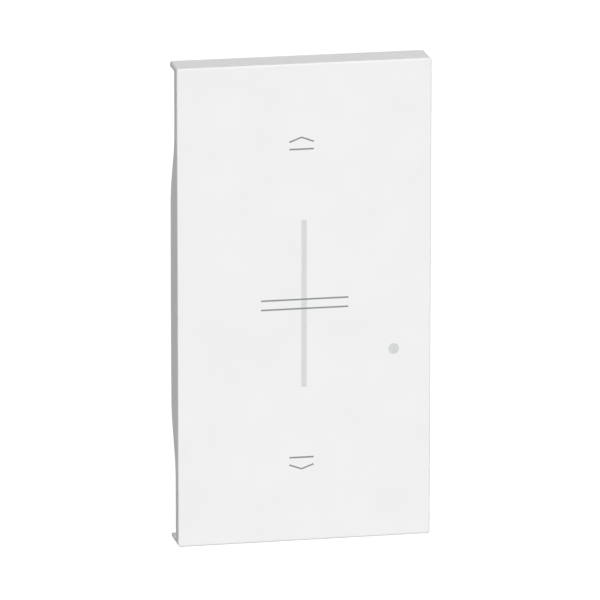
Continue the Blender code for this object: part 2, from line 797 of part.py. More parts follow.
def make_lights_and_chip():
    led_size = (LED_WIDTH, LED_HEIGHT, LED_LENGTH)
    for i in range(LEVEL_LED_COUNT):
        z = (i - (LEVEL_LED_COUNT - 1) / 2) * LEVEL_LED_PITCH
        make_small_block(f"level_led_{i + 1}", (LIGHT_BAR_OFFSET, z), led_size, "led")
    make_small_block("status_led", (status_x, -STATUS_DROP), led_size, "led")
    chip_size = (CHIP_SIZE, CHIP_HEIGHT, CHIP_SIZE)
    make_small_block("control_chip", (CHIP_OFFSET_X, CHIP_OFFSET_Z), chip_size, "dark_plastic")


def cage_places():
    """The terminals stand in one row, the outer ones beside the housing's walls."""
    step = 2 * cage_x / (TERMINAL_COUNT - 1)
    return [-cage_x + i * step for i in range(TERMINAL_COUNT)]


def make_housing():
    outline = rounded_rectangle(housing_half, housing_top, HOUSING_CORNER)
    housing = prism("rear_housing", "Y", outline, flange_front, housing_back)
    flange = rounded_rectangle(housing_half, flange_top, HOUSING_CORNER)
    join(housing, prism("housing_flange", "Y", flange, flange_front, flange_back))
    room = rounded_rectangle(room_half, room_top, SMALL_BEVEL)
    cut(housing, prism("housing_room", "Y", room, flange_front - OVERRUN, housing_floor))
    for side, across in SIDES.items():
        x = sorted((across * (room_half - RIB_DEPTH), across * (room_half + HOUSING_WALL / 2)))
        for end, up in ENDS.items():
            rib_ends = (power_back + SEAT_GAP, housing_floor + OVERRUN)
            join(housing, box(f"board_rib_{end}_{side}", x, rib_ends, span(up * RIB_OFFSET_Z, RIB_WIDTH)))
    through_flange = (flange_front - OVERRUN, flange_back + OVERRUN)
    for name, place in screw_places().items():
        cut(housing, rod(f"screw_hole_{name}", place, screw_hole, *through_flange))
    entry_ends = (housing_floor - OVERRUN, housing_back + OVERRUN)
    driver_hole = TERMINAL_HEAD_DIAMETER / 2 + SCREW_CLEARANCE
    bottom = (-housing_top - OVERRUN, -room_top + OVERRUN)
    for i, x in enumerate(cage_places(), 1):
        cut(
            housing,
            box(f"wire_entry_{i}", span(x, CAGE_OPENING), entry_ends, span(cage_z, CAGE_OPENING)),
            cylinder(f"driver_hole_{i}", "Z", (x, terminal_screw_y, 0), driver_hole, *bottom),
        )
    keep(housing, "dark_plastic")


def make_housing_screws():
    radius = SCREW_DIAMETER / 2
    head_radius = SCREW_HEAD_DIAMETER / 2
    under_head = flange_back + SOLDER_GAP
    top = under_head + SCREW_HEAD_HEIGHT
    tip = under_head - SCREW_LENGTH
    profile = [(0, top), (head_radius - SMALL_BEVEL, top), (head_radius, top - SMALL_BEVEL)]
    profile += [(head_radius, under_head), (radius, under_head), (radius, tip + radius)]
    profile += [(radius / 2, tip), (0, tip)]
    depth = (top - SCREW_SLOT_DEPTH, top + OVERRUN)
    for name, (x, z) in screw_places().items():
        screw = turned(f"housing_screw_{name}", "Y", (x, 0, z), profile)
        long_x, short_x = span(x, SCREW_CROSS_LENGTH), span(x, SCREW_SLOT_WIDTH)
        long_z, short_z = span(z, SCREW_CROSS_LENGTH), span(z, SCREW_SLOT_WIDTH)
        cut(screw, box(f"cross_{name}_flat", long_x, depth, short_z))
        cut(screw, box(f"cross_{name}_upright", short_x, depth, long_z))
        keep(screw, "steel")


def make_power_board():
    outline = rounded_rectangle(room_half - POWER_BOARD_EDGE, room_top - POWER_BOARD_EDGE, BOARD_CORNER)
    keep(prism("power_board", "Y", outline, power_front, power_back), "board")

    bulk_x = room_half - ROW_SIDE_GAP - BULK_DIAMETER / 2
    make_can("bulk_capacitor", (bulk_x, 0, low_row_z), BULK_DIAMETER, BULK_HEIGHT, "sleeve")
    fuse_x = -room_half + ROW_SIDE_GAP + FUSE_DIAMETER / 2
    make_can("fuse", (fuse_x, 0, low_row_z), FUSE_DIAMETER, FUSE_HEIGHT, "dark_plastic")

    film_outer = room_half - ROW_SIDE_GAP
    film_ends = (parts_front, parts_front + FILM_HEIGHT)
    film_x = (film_outer - FILM_WIDTH, film_outer)
    film = box("film_capacitor", film_x, film_ends, span(high_row_z, FILM_LENGTH))
    soften(film)
    keep(film, "film_case")


def make_can(name, middle, diameter, height, finish):
    radius = diameter / 2
    end = parts_front + height
    profile = [(0, end), (radius - SMALL_BEVEL, end), (radius, end - SMALL_BEVEL)]
    profile += [(radius, parts_front), (0, parts_front)]
    keep(turned(name, "Y", middle, profile), finish)


def make_choke():
    """A ring core on the power board, with one wire wound round it and led straight down to the board."""
    x = -room_half + ROW_SIDE_GAP + choke_outer
    y = parts_front + coil_radius + CHOKE_WIRE / 2
    ring = arc((CHOKE_RADIUS, y), CORE_RADIUS, 90, -270, ROUND_SIDES // 2)
    core = turned("choke_core", "Y", (x, 0, high_row_z), ring)
    keep(core, "ferrite")

    count = CHOKE_TURNS * CURL_STEPS
    winding = []
    for i in range(count + 1):
        turn = math.tau * i / CURL_STEPS
        sweep = math.radians(CHOKE_SPAN) * (i / count - 0.5)
        reach = CHOKE_RADIUS + coil_radius * math.cos(turn)
        depth = y + coil_radius * math.sin(turn)
        winding.append((x + reach * math.cos(sweep), depth, high_row_z + reach * math.sin(sweep)))
    first, last = ((place[0], power_back + SEAT_GAP, place[2]) for place in (winding[0], winding[-1]))
    keep(tube("choke_winding", [first] + winding + [last], CHOKE_WIRE), "copper")
    print_least_gap("choke_winding", winding, CHOKE_WIRE)


def make_transistors():
    sink_x = span(0, 2 * (room_half - ROW_SIDE_GAP))
    sink_z = (heat_sink_z, heat_sink_z + HEAT_SINK_THICKNESS)
    sink = box("heat_sink", sink_x, (parts_front, parts_front + HEAT_SINK_DEPTH), sink_z)
    soften(sink)
    keep(sink, "aluminium")
    front = parts_front + TRANSISTOR_LEG
    body_ends = (front, front + TRANSISTOR_DEPTH)
    body_z = (transistor_z, transistor_z + TRANSISTOR_THICKNESS)
    leg_z = span(sum(body_z) / 2, TRANSISTOR_LEG_WIDTH)
    for side, across in SIDES.items():
        middle = across * (TRANSISTOR_WIDTH + TRANSISTOR_GAP) / 2
        body = box(f"transistor_{side}", span(middle, TRANSISTOR_WIDTH), body_ends, body_z)
        soften(body)
        for i in (-1, 0, 1):
            leg_x = span(middle + i * TRANSISTOR_LEG_PITCH, TRANSISTOR_LEG_WIDTH)
            join(body, box(f"leg_{side}_{i}", leg_x, (parts_front, front + OVERRUN), leg_z))
        keep(body, "dark_plastic")


def make_terminals():
    """Each wire goes into a brass cage from behind, and a screw under the cage clamps it."""
    cage_ends = (cage_front, cage_back)
    hollow_ends = (cage_front - OVERRUN, cage_back + OVERRUN)
    leg_ends = (parts_front, cage_front + OVERRUN)
    cage_top = cage_bottom + cage_outer
    leg_z = (cage_top - CAGE_WALL + SMALL_BEVEL / 2, cage_top - SMALL_BEVEL / 2)
    radius = TERMINAL_SCREW_DIAMETER / 2
    head_radius = TERMINAL_HEAD_DIAMETER / 2
    thread_radius = radius + SCREW_CLEARANCE
    thread_ends = (cage_bottom - OVERRUN, cage_bottom + CAGE_WALL + OVERRUN)
    tip = cage_bottom + CAGE_WALL
    head_top = cage_bottom - SOLDER_GAP
    head_bottom = head_top - TERMINAL_HEAD_HEIGHT
    profile = [(0, tip), (radius, tip), (radius, head_top), (head_radius, head_top)]
    profile += [(head_radius, head_bottom + SMALL_BEVEL), (head_radius - SMALL_BEVEL, head_bottom)]
    profile += [(0, head_bottom)]
    slot_ends = span(terminal_screw_y, 2 * TERMINAL_HEAD_DIAMETER)
    slot_z = (head_bottom - OVERRUN, head_bottom + SCREW_SLOT_DEPTH)
    for i, x in enumerate(cage_places(), 1):
        on_axis = (x, terminal_screw_y, 0)
        cage = box(f"terminal_cage_{i}", span(x, cage_outer), cage_ends, span(cage_z, cage_outer))
        soften(cage)
        hollow = box(f"cage_hollow_{i}", span(x, CAGE_OPENING), hollow_ends, span(cage_z, CAGE_OPENING))
        cut(cage, hollow, cylinder(f"cage_thread_{i}", "Z", on_axis, thread_radius, *thread_ends))
        join(cage, box(f"cage_leg_{i}", span(x, CAGE_LEG_WIDTH), leg_ends, leg_z))
        keep(cage, "brass")
        screw = turned(f"terminal_screw_{i}", "Z", on_axis, profile)
        cut(screw, box(f"terminal_slot_{i}", span(x, SCREW_SLOT_WIDTH), slot_ends, slot_z))
        keep(screw, "steel")


rocker_axis = make_axis("rocker_axis", (0, hinge_y, 0))
make_key(rocker_axis)
make_light_guides(rocker_axis)
make_cradle(rocker_axis)
make_hinge_pins()
make_chassis()
make_strap()
make_control_board()
make_switches()
make_lights_and_chip()
make_springs()
make_housing()
make_housing_screws()
make_power_board()
make_choke()
make_transistors()
make_terminals()
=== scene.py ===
"""The looks of a rocking wall dimmer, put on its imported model.

A white moulded key with printed marks and two light windows rocks on a cradle. Behind it lie the hinge,
the springs and the boards, on a steel strap with a dark housing at the back. The key faces -Y, +Z is up,
and the wall is the plane y = 0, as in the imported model. Lengths are in metres.
"""

import math

import bmesh
import bpy
from mathutils import Matrix, Vector


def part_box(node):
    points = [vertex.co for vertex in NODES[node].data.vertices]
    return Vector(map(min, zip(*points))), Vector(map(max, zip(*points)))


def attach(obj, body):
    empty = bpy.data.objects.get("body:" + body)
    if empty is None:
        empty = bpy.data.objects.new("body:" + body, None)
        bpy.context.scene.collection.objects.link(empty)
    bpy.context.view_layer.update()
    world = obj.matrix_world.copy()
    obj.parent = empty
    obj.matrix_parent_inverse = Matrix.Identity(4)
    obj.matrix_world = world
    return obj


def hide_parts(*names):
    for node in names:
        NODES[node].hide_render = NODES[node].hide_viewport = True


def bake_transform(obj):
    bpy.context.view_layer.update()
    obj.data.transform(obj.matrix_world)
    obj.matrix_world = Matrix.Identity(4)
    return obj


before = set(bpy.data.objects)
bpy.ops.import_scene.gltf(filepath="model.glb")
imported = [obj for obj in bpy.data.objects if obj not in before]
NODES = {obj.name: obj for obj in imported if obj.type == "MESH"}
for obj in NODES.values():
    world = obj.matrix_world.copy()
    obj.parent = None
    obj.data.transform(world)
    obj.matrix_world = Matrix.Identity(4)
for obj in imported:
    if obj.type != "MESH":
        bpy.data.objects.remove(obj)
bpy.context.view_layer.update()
MM = 0.001

# Key
INK_THICKNESS = 0.02 * MM
EDGE_RADIUS = 0.28 * MM
EDGE_STEPS = 6
KEY_CORNER = 0.4 * MM
CORNER_STEPS = 8
FACE_THICKNESS = 1.8 * MM
LIP_DEPTH = 6.5 * MM
LIP_THICKNESS = 0.9 * MM
SIDE_WALL = 1.2 * MM
RIM_DEPTH = 2.6 * MM
SKIRT_DEPTH = 6.6 * MM
SKIRT_CROWN = 0.25 * MM
SKIRT_LENGTH = 40.0 * MM
SKIRT_RAMP = 9.0 * MM
SKIRT_EASE = 2.5 * MM
LIP_EASE = 0.25 * MM
HOLLOW_EASE = 0.4 * MM
HOLLOW_STEPS = 3
KEY_EDGE_EASE = 0.12 * MM
CROWN_STEPS = 12
OVERRUN = 0.5 * MM

# Clip hooks behind the key
CRADLE_THICKNESS = 2.2 * MM
HOOK_WIDTH = 3.0 * MM
HOOK_THICKNESS = 1.2 * MM
HOOK_BARB = 0.7 * MM
HOOK_TIP = 1.2 * MM
HOOK_SPREAD = 24.0 * MM
HOOK_INSET = 8.0 * MM
HOOK_GAP = 0.3 * MM

# Moulding details behind the key
GUSSET_THICKNESS = 0.8 * MM
GUSSET_REACH = 3.6 * MM
GUSSET_RISE = 2.6 * MM
GUSSET_SPREAD = (-16.0 * MM, -6.0 * MM, 6.0 * MM, 16.0 * MM)
EJECTOR_RADIUS = 1.3 * MM
EJECTOR_DEPTH = 0.08 * MM
EJECTOR_ACROSS = 11.0 * MM
EJECTOR_UP = 38.4 * MM

# Rear housing
FLANGE_LAND = 5.4 * MM
HOUSING_CORNER = 1.5 * MM
HOUSING_ROUND = 0.7 * MM
HOUSING_EASE = 0.12 * MM
FIELD_HALF = 9.5 * MM
FIELD_LOW = -5.0 * MM
FIELD_HIGH = 15.0 * MM
FIELD_DEPTH = 0.3 * MM
FIELD_CORNER = 1.2 * MM
GROOVE_COUNT = 8
GROOVE_PITCH = 2.6 * MM
GROOVE_WIDTH = 1.1 * MM
GROOVE_DEPTH = 0.35 * MM
GROOVE_LENGTH = 11.0 * MM
GROOVE_START_Z = -4.0 * MM
GROOVE_MIDDLE_Y = 9.6 * MM
TERMINALS = (1, 2, 3)
ENTRY_HALF = 2.4 * MM
ENTRY_FLARE = 0.7 * MM
ENTRY_SIDES = 4
DRIVER_RADIUS = 2.25 * MM
DRIVER_FLARE = 0.45 * MM
ROUND_SIDES = 48

# Light windows
LIGHT_FLANGE = 1.0 * MM
FLANGE_SETBACK = 0.2 * MM
FLANGE_THICKNESS = 1.0 * MM
WINDOW_CLEARANCE = 0.004 * MM
WINDOW_SIDES = 64

# Printed marks, from the middle of the face: across, up
STROKE_WIDTH = 0.275 * MM
MARK_MIDDLE = -0.55 * MM
MARK_HALF_WIDTH = 2.15 * MM
MARK_LINE_HEIGHT = 27.72 * MM
CHEVRON_FOOT_HEIGHT = 29.03 * MM
CHEVRON_TIP_HEIGHT = 29.83 * MM
CROSS_LINE_HALF = 7.76 * MM
CROSS_LINE_HEIGHT = 0.83 * MM

# Wound pieces
SPRING_RADIUS = 2.0 * MM
SPRING_WIRE = 0.5 * MM
SPRING_TURNS = 5.0
SPRING_END_TURNS = 1.0
WINDING_REACH = 3.4 * MM
WINDING_RADIUS = 1.6 * MM
WINDING_WIRE = 0.4 * MM
WINDING_TURNS = 17.5
WINDING_SPAN = math.radians(300)
WINDING_FOOT = 1.7 * MM
TURN_STEPS = 24
WIRE_SIDES = 10

# Screws
PAN_DOME = 0.45 * MM
DOME_POWER = 4.0
HEAD_RINGS = 8
HEAD_STEPS = 2
HEAD_TOP_SHARE = 0.49
THREAD_DEPTH = 0.18 * MM
THREAD_PITCH = 0.6 * MM
THREAD_TAPER = 0.7 * MM
TIP_SHARE = 0.6
SHANK_SIDES = 24
SHANK_STEPS = 48
RECESS_WIDTH = 0.6 * MM
RECESS_DEPTH = 0.7 * MM
RECESS_LENGTH = 2.4 * MM
HOUSING_HEAD = 1.4 * MM
HOUSING_SHANK = 1.1 * MM
TERMINAL_HEAD = 1.6 * MM
TERMINAL_SHANK = 1.4 * MM
SCREW_SPIN = 1.2
SCREW_SEED = 4

# On the control board
LAMP_COUNT = 5
LAMP_END = 0.4 * MM
LAMP_LENS = 0.45 * MM
LENS_RISE = 0.12 * MM
LENS_DRAFT = 0.1 * MM
LEG_REACH = 0.8 * MM
LEG_PITCH = 0.65 * MM
LEG_COUNT = 7
LEG_WIDTH = 0.28 * MM
LEG_THICKNESS = 0.13 * MM
LEG_BEND = 0.65
LEG_STEPS = 10
CHIP_EASE = 0.08 * MM
DIMPLE_RADIUS = 0.35 * MM
DIMPLE_DEPTH = 0.06 * MM
DIMPLE_INSET = 0.8 * MM
COVER_THICKNESS = 0.25 * MM
COVER_CORNER = 0.5 * MM
COVER_HOLE = 1.75 * MM
PEG_RADIUS = 0.35 * MM
PEG_RISE = 0.08 * MM
PEG_SPREAD = 2.35 * MM
SWITCH_EASE = 0.1 * MM
SWITCH_LEG = (0.25 * MM, 1.4 * MM, 0.8 * MM)
SWITCH_LEG_SPREAD = 2.2 * MM
PIN_COUNT = 4
PIN_PITCH = 2.54 * MM
PIN_WIDTH = 0.64 * MM
HEADER_STRIP = 2.3 * MM
HEADER_SPLIT = 0.1 * MM

# On the power board
CAN_CRIMP = 0.35 * MM
CAN_CRIMP_UP = 1.35 * MM
CAN_FOOT = 0.5 * MM
CAN_ROLL = 0.85 * MM
CAN_RECESS = 0.3 * MM
VENT_LENGTH = 3.8 * MM
VENT_WIDTH = 0.22 * MM
VENT_DEPTH = 0.08 * MM
FUSE_COLLAR = 0.55 * MM
FUSE_STEP = 0.15 * MM
FUSE_ROUND = 0.5 * MM
FUSE_DISH = 0.9 * MM
FILM_EASE = 0.35 * MM
FILM_EASE_STEPS = 3
FILM_FOOT = 0.4 * MM
FILM_FOOT_LENGTH = 1.6 * MM
CORE_STEPS = 24
SINK_GROOVES = 15
SINK_PITCH = 1.5 * MM
SINK_GROOVE_WIDTH = 0.7 * MM
SINK_GROOVE_DEPTH = 0.4 * MM
SINK_EASE = 0.08 * MM
TRANSISTOR_EASE = 0.25 * MM
TRANSISTOR_LEG = 2.5 * MM
TRANSISTOR_LEG_COUNT = 3
TRANSISTOR_LEG_WIDTH = 0.7 * MM
TRANSISTOR_LEG_THICKNESS = 0.5 * MM
TRANSISTOR_LEG_PITCH = 2.4 * MM
TRANSISTOR_MARK = 1.1 * MM

# Eased edges of the plain mouldings and metal pieces
PLASTIC_EASE = 0.2 * MM
METAL_EASE = 0.12 * MM

# Plastics: dark and light tint, lowest and highest roughness, size and depth of the grain, gloss if not 0.5
PLASTICS = {
    "white_plastic": ((0.86, 0.86, 0.858), (0.88, 0.88, 0.878), (0.5, 0.56), 0.12 * MM, 0.002 * MM, 0.12),
    "grey_plastic": ((0.50, 0.51, 0.52), (0.58, 0.59, 0.60), (0.42, 0.55), 0.25 * MM, 0.006 * MM),
    "dark_plastic": ((0.043, 0.043, 0.047), (0.053, 0.053, 0.058), (0.42, 0.54), 0.22 * MM, 0.010 * MM),
    "button_plastic": ((0.82, 0.82, 0.80), (0.87, 0.87, 0.85), (0.40, 0.50), 0.12 * MM, 0.003 * MM),
    "ferrite": ((0.070, 0.070, 0.078), (0.110, 0.110, 0.118), (0.55, 0.75), 0.15 * MM, 0.010 * MM),
    "film_case": ((0.66, 0.46, 0.08), (0.76, 0.56, 0.13), (0.30, 0.40), 0.30 * MM, 0.003 * MM),
    "sleeve": ((0.045, 0.070, 0.130), (0.065, 0.095, 0.170), (0.22, 0.34), 0.50 * MM, 0.004 * MM),
    "led_case": ((0.84, 0.80, 0.58), (0.90, 0.88, 0.76), (0.30, 0.42), 0.20 * MM, 0.002 * MM),
}

# Metals: dark and light tint, lowest and highest roughness, stretch, size and depth of the drawn lines
METALS = {
    "strap_steel": ((0.6, 0.61, 0.62), (0.65, 0.66, 0.67), (0.28, 0.4), (1, 1, 0.04), 0.22 * MM, 0.004 * MM),
    "screw_steel": ((0.58, 0.58, 0.56), (0.70, 0.70, 0.68), (0.22, 0.36), (1, 1, 1), 0.4 * MM, 0.003 * MM),
    "spring_steel": ((0.46, 0.47, 0.48), (0.58, 0.59, 0.60), (0.24, 0.34), (1, 1, 1), 0.2 * MM, 0.002 * MM),
    "brass": ((0.70, 0.52, 0.24), (0.80, 0.62, 0.32), (0.24, 0.40), (1, 0.08, 1), 0.3 * MM, 0.003 * MM),
    "enamelled_wire": ((0.56, 0.22, 0.09), (0.72, 0.34, 0.16), (0.18, 0.3), (1, 1, 1), 0.6 * MM, 0.001 * MM),
    "aluminium": ((0.70, 0.71, 0.72), (0.80, 0.81, 0.82), (0.30, 0.46), (0.06, 1, 1), 0.3 * MM, 0.003 * MM),
    "tin": ((0.64, 0.64, 0.62), (0.76, 0.76, 0.74), (0.26, 0.42), (1, 1, 1), 0.25 * MM, 0.002 * MM),
}

# Milky light guides and ink: dark and light tint
LIGHT_GUIDES = {
    "bar_plastic": ((0.67, 0.70, 0.70), (0.71, 0.74, 0.74)),
    "dot_plastic": ((0.642, 0.658, 0.672), (0.680, 0.696, 0.710)),
    "lamp_lens": ((0.74, 0.66, 0.26), (0.84, 0.76, 0.38)),
}
GREY_INK = ((0.240, 0.262, 0.254), (0.270, 0.292, 0.284))

# How the finishes wander over a surface
NOISE_LOW = 0.3
NOISE_HIGH = 0.7
NOISE_DETAIL = 3.0
PLASTIC_CLOUD = 9 * MM
PLASTIC_GLOSS = 2 * MM
METAL_CLOUD = 4 * MM
INK_CLOUD = 0.3 * MM
INK_ROUGHNESS = 0.6
INK_SPECULAR = 0.2
GUIDE_CLOUD = 1.2 * MM
GUIDE_GLOSS = 0.8 * MM
GUIDE_ROUGHNESS = (0.35, 0.45)
GUIDE_SPECULAR = 0.3
GUIDE_CLEARNESS = 0.03

# Circuit boards: gaps, pads and holes are shares of their cells
TRACK_CELL = 4.2 * MM
TRACK_JITTER = 0.85
TRACK_GAP = 0.09
BARE_SHARE = 0.35
VIA_CELL = 2.6 * MM
VIA_JITTER = 0.9
PAD_RADIUS = 0.11
HOLE_SHADE_RADIUS = 0.05
TRACK_RISE = 0.02 * MM
LACQUER = ((0.012, 0.085, 0.034), (0.026, 0.150, 0.062))
LACQUER_GLOSS = 0.6 * MM
LACQUER_ROUGHNESS = (0.28, 0.40)
PAD_TIN = (0.58, 0.58, 0.55)
# Painted shade: the near-black middle of each pad stands for the dark inside of its hole
PAINTED_HOLE_SHADE = (0.03, 0.04, 0.03)
FIBREGLASS = ((0.20, 0.24, 0.10), (0.34, 0.36, 0.18))
FIBRE_SIZE = 0.4 * MM
FIBRE_STRETCH = (1, 8, 1)
BOARD_FACE = 0.7

# Camera and light
LENS = 478.2
SENSOR = 36.0
CAMERA_DISTANCE = 1.3878
CAMERA_YAW = math.radians(11.42)
CAMERA_PITCH = math.radians(14.56)
CAMERA_ROLL = math.radians(0.02)
AIM_ACROSS = -0.83 * MM
AIM_UP = 0.72 * MM
SKY_IN_FRONT = 0.33
SKY_BEHIND = 0.22
SKY_FADE = 0.5
FRONT_LIGHT_FROM = (-0.14, -0.85, 0.45)
FRONT_LIGHT_STRENGTH = 2.62
BACK_LIGHT_FROM = (0.75, 0.65, 0.06)
BACK_LIGHT_STRENGTH = 1.9
LIGHT_SPREAD = math.radians(35)
FLOOR_GREY = 0.30
FLOOR_LIFT = 0.88
FLOOR_DROP = 0.25
FLOOR_HALF = 6.0
WHITE = (1, 1, 1, 1)

# Limits, sockets and turns for making meshes and finishes
WELD = 0.001 * MM
SLIVER = 0.004 * MM
FLAT = math.radians(1)
SHARP = math.radians(35)
UPRIGHT_FACE = 0.5
FLAT_FACE_WEIGHT = 100
CONE_SIZES = {"Vertices": "Int", "Radius Bottom": "Float", "Radius Top": "Float", "Depth": "Float"}
MIX_COLOURS = (6, 7)
MIX_RESULT = 2
UNTURNED = (0, 0, 0)
FORWARD = (math.pi / 2, 0, 0)
OUT_OF_FACE = (0, -1, 0)

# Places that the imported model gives
key_low, key_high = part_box("key_cover")
cradle_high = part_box("rocker_cradle")[1]
bar_low, bar_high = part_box("level_light_bar")
pipe_low, pipe_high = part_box("status_light_pipe")
face_y = key_low.y + INK_THICKNESS
face_back = key_low.y + FACE_THICKNESS
cradle_back = face_back + HOOK_GAP + CRADLE_THICKNESS
half_width = key_high.x
half_height = key_high.z
bar_half = (bar_high.x - bar_low.x) / 2 - LIGHT_FLANGE
bar_middle = (bar_low.x + bar_high.x) / 2
bar_end = bar_high.z - LIGHT_FLANGE
pipe_middle = (pipe_low + pipe_high) / 2
pipe_radius = (pipe_high.x - pipe_low.x) / 2 - LIGHT_FLANGE
board_front, board_back = (corner.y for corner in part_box("control_board"))
power_front, power_back = (corner.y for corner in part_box("power_board"))


# Making and finishing meshes


def room(node):
    """The lowest corner, the highest corner and the middle of a node's box."""
    low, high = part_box(node)
    return low, high, (low + high) / 2


def spread(count, pitch):
    """Places about zero, a pitch apart."""
    return [(i - (count - 1) / 2) * pitch for i in range(count)]


def new_piece(name, bm):
    mesh = bpy.data.meshes.new(name)
    bm.to_mesh(mesh)
    bm.free()
    mesh.shade_smooth()
    piece = bpy.data.objects.new(name, mesh)
    bpy.context.scene.collection.objects.link(piece)
    return piece


def block(x, y, z):
    """A block between the (low, high) pairs given for each axis."""
    low, high = (Vector(ends) for ends in zip(x, y, z))
    bm = bmesh.new()
    bmesh.ops.create_cube(bm, size=1.0)
    bmesh.ops.scale(bm, vec=high - low, verts=bm.verts)
    bmesh.ops.translate(bm, vec=(low + high) / 2, verts=bm.verts)
    return bm


def bevel(bm, edges, radius, steps):
    bmesh.ops.bevel(bm, geom=edges, offset=radius, segments=steps, profile=0.5, affect="EDGES")


def round_front(bm, radius, steps):
    """Rounds the edges in front, and the corners that run back from them."""
    back = max(vert.co.y for vert in bm.verts)
    edges = [edge for edge in bm.edges if any(vert.co.y < back for vert in edge.verts)]
    bevel(bm, edges, radius, steps)


def rounded_plate(x, y, z, corner):
    """A block whose corners are round as seen from the front."""
    bm = block(x, y, z)
    along_y = [edge for edge in bm.edges if abs(edge.verts[0].co.y - edge.verts[1].co.y) > WELD]
    bevel(bm, along_y, corner, CORNER_STEPS)
    return bm


def pushed_outline(outline, low, high):
    """A closed (y, z) outline pushed along X from low to high."""
    bm = bmesh.new()
    face = bm.faces.new([bm.verts.new((low, y, z)) for y, z in outline])
    pushed = bmesh.ops.extrude_face_region(bm, geom=[face])
    moved = [item for item in pushed["geom"] if isinstance(item, bmesh.types.BMVert)]
    bmesh.ops.translate(bm, vec=(high - low, 0, 0), verts=moved)
    bmesh.ops.recalc_face_normals(bm, faces=bm.faces)
    return bm


def turned(profile, middle, sides):
    """A (radius, y) profile that starts and ends on the axis, spun about Y."""
    bm = bmesh.new()
    verts = [bm.verts.new((middle.x + radius, y, middle.z)) for radius, y in profile]
    edges = [bm.edges.new(pair) for pair in zip(verts, verts[1:])]
    bmesh.ops.spin(
        bm, geom=verts + edges, cent=(middle.x, 0, middle.z), axis=(0, 1, 0), angle=math.tau, steps=sides
    )
    bmesh.ops.remove_doubles(bm, verts=bm.verts, dist=WELD)
    bmesh.ops.recalc_face_normals(bm, faces=bm.faces)
    return bm


def eased_outline(corners):
    """A closed outline through (y, z, ease) corners, each drawn round over its ease along both sides."""
    outline = []
    count = len(corners)
    for i, (y, z, ease) in enumerate(corners):
        corner = Vector((y, z))
        if not ease:
            outline.append(corner)
            continue
        ends = []
        for other in (corners[i - 1], corners[(i + 1) % count]):
            ends.append(corner + (Vector(other[:2]) - corner).normalized() * ease)
        for step in range(EDGE_STEPS + 1):
            share = step / EDGE_STEPS
            outline.append(ends[0].lerp(corner, share).lerp(corner.lerp(ends[1], share), share))
    return outline


def carve(piece, tool, operation="DIFFERENCE"):
    """Cuts a tool from the piece, or joins it on, by a Boolean that settle() makes firm."""
    boolean = piece.modifiers.new(tool.name, "BOOLEAN")
    boolean.operation = operation
    boolean.object = tool
    boolean.solver = "EXACT"


def ease_edges(piece, width, steps=2):
    easing = piece.modifiers.new("eased_edges", "BEVEL")
    easing.width = width
    easing.segments = steps
    easing.limit_method = "ANGLE"
    easing.angle_limit = SHARP
    easing.use_clamp_overlap = True


def settle(piece):
    """Makes the piece a plain mesh whose broad faces shade flat, and removes its tools."""
    kinds = [modifier.type for modifier in piece.modifiers]
    tools = [modifier.object for modifier in piece.modifiers if modifier.type == "BOOLEAN"]
    if tools:
        piece.modifiers.new("slivers", "WELD").merge_threshold = SLIVER
    if "BEVEL" in kinds:
        piece.modifiers.new("flat_faces", "WEIGHTED_NORMAL").weight = FLAT_FACE_WEIGHT
    mesh = plain_mesh(piece)
    if "BEVEL" not in kinds:
        mesh.set_sharp_from_angle(angle=SHARP)
    piece.modifiers.clear()
    piece.data = mesh
    mesh.name = piece.name
    for tool in tools:
        bpy.data.objects.remove(tool, do_unlink=True)
    return piece


def plain_mesh(piece):
    """A mesh of the piece as its modifiers leave it."""
    bpy.context.view_layer.update()
    graph = bpy.context.evaluated_depsgraph_get()
    return bpy.data.meshes.new_from_object(piece.evaluated_get(graph))


def joined_copy(node):
    """A node's own solid, with its loose triangles joined into whole faces."""
    bm = bmesh.new()
    bm.from_mesh(NODES[node].data)
    bmesh.ops.remove_doubles(bm, verts=bm.verts, dist=WELD)
    bmesh.ops.dissolve_limit(bm, angle_limit=FLAT, verts=bm.verts, edges=bm.edges)
    return bm


def dressed_copy(node, name, ease):
    """A node's own solid, with its edges eased, to stand for the node."""
    piece = new_piece(name, joined_copy(node))
    ease_edges(piece, ease)
    return settle(piece)


def gathered(name, pieces):
    """One piece from several."""
    bm = bmesh.new()
    for piece in pieces:
        bm.from_mesh(piece.data)
        bpy.data.objects.remove(piece, do_unlink=True)
    whole = new_piece(name, bm)
    whole.data.set_sharp_from_angle(angle=SHARP)
    return whole


def dress(piece, material):
    piece.data.materials.clear()
    piece.data.materials.append(material)
    return piece


def fit(piece, finish, nodes=(), body="base"):
    """Lets a piece stand for its nodes, in its finish, on the body that carries it."""
    if nodes:
        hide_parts(*nodes)
    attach(dress(piece, finishes[finish]), body)


# Node trees, for finishes and for shapes that repeat


def set_inputs(tree, node, inputs):
    """Sets a node's inputs, or links those that are given as another node's output."""
    for key, value in inputs.items():
        if isinstance(value, bpy.types.NodeSocket):
            tree.links.new(value, node.inputs[key])
        else:
            node.inputs[key].default_value = value


def add_node(tree, kind, inputs=None, **settings):
    made = tree.nodes.new(kind)
    for key, value in settings.items():
        setattr(made, key, value)
    set_inputs(tree, made, inputs or {})
    return made


def out(tree, kind, inputs=None, **settings):
    """The first output of a new node."""
    return add_node(tree, kind, inputs, **settings).outputs[0]


def calc(tree, operation, *values):
    return out(tree, "ShaderNodeMath", dict(enumerate(values)), operation=operation)


def vector(tree, **axes):
    return out(tree, "ShaderNodeCombineXYZ", axes)


def own_place(tree):
    """X, Y and Z of each point of a shape."""
    place = out(tree, "GeometryNodeInputPosition")
    return add_node(tree, "ShaderNodeSeparateXYZ", {0: place}).outputs


def lifted(tree, shape, height):
    return out(tree, "GeometryNodeTransform", {"Geometry": shape, "Translation": vector(tree, Z=height)})


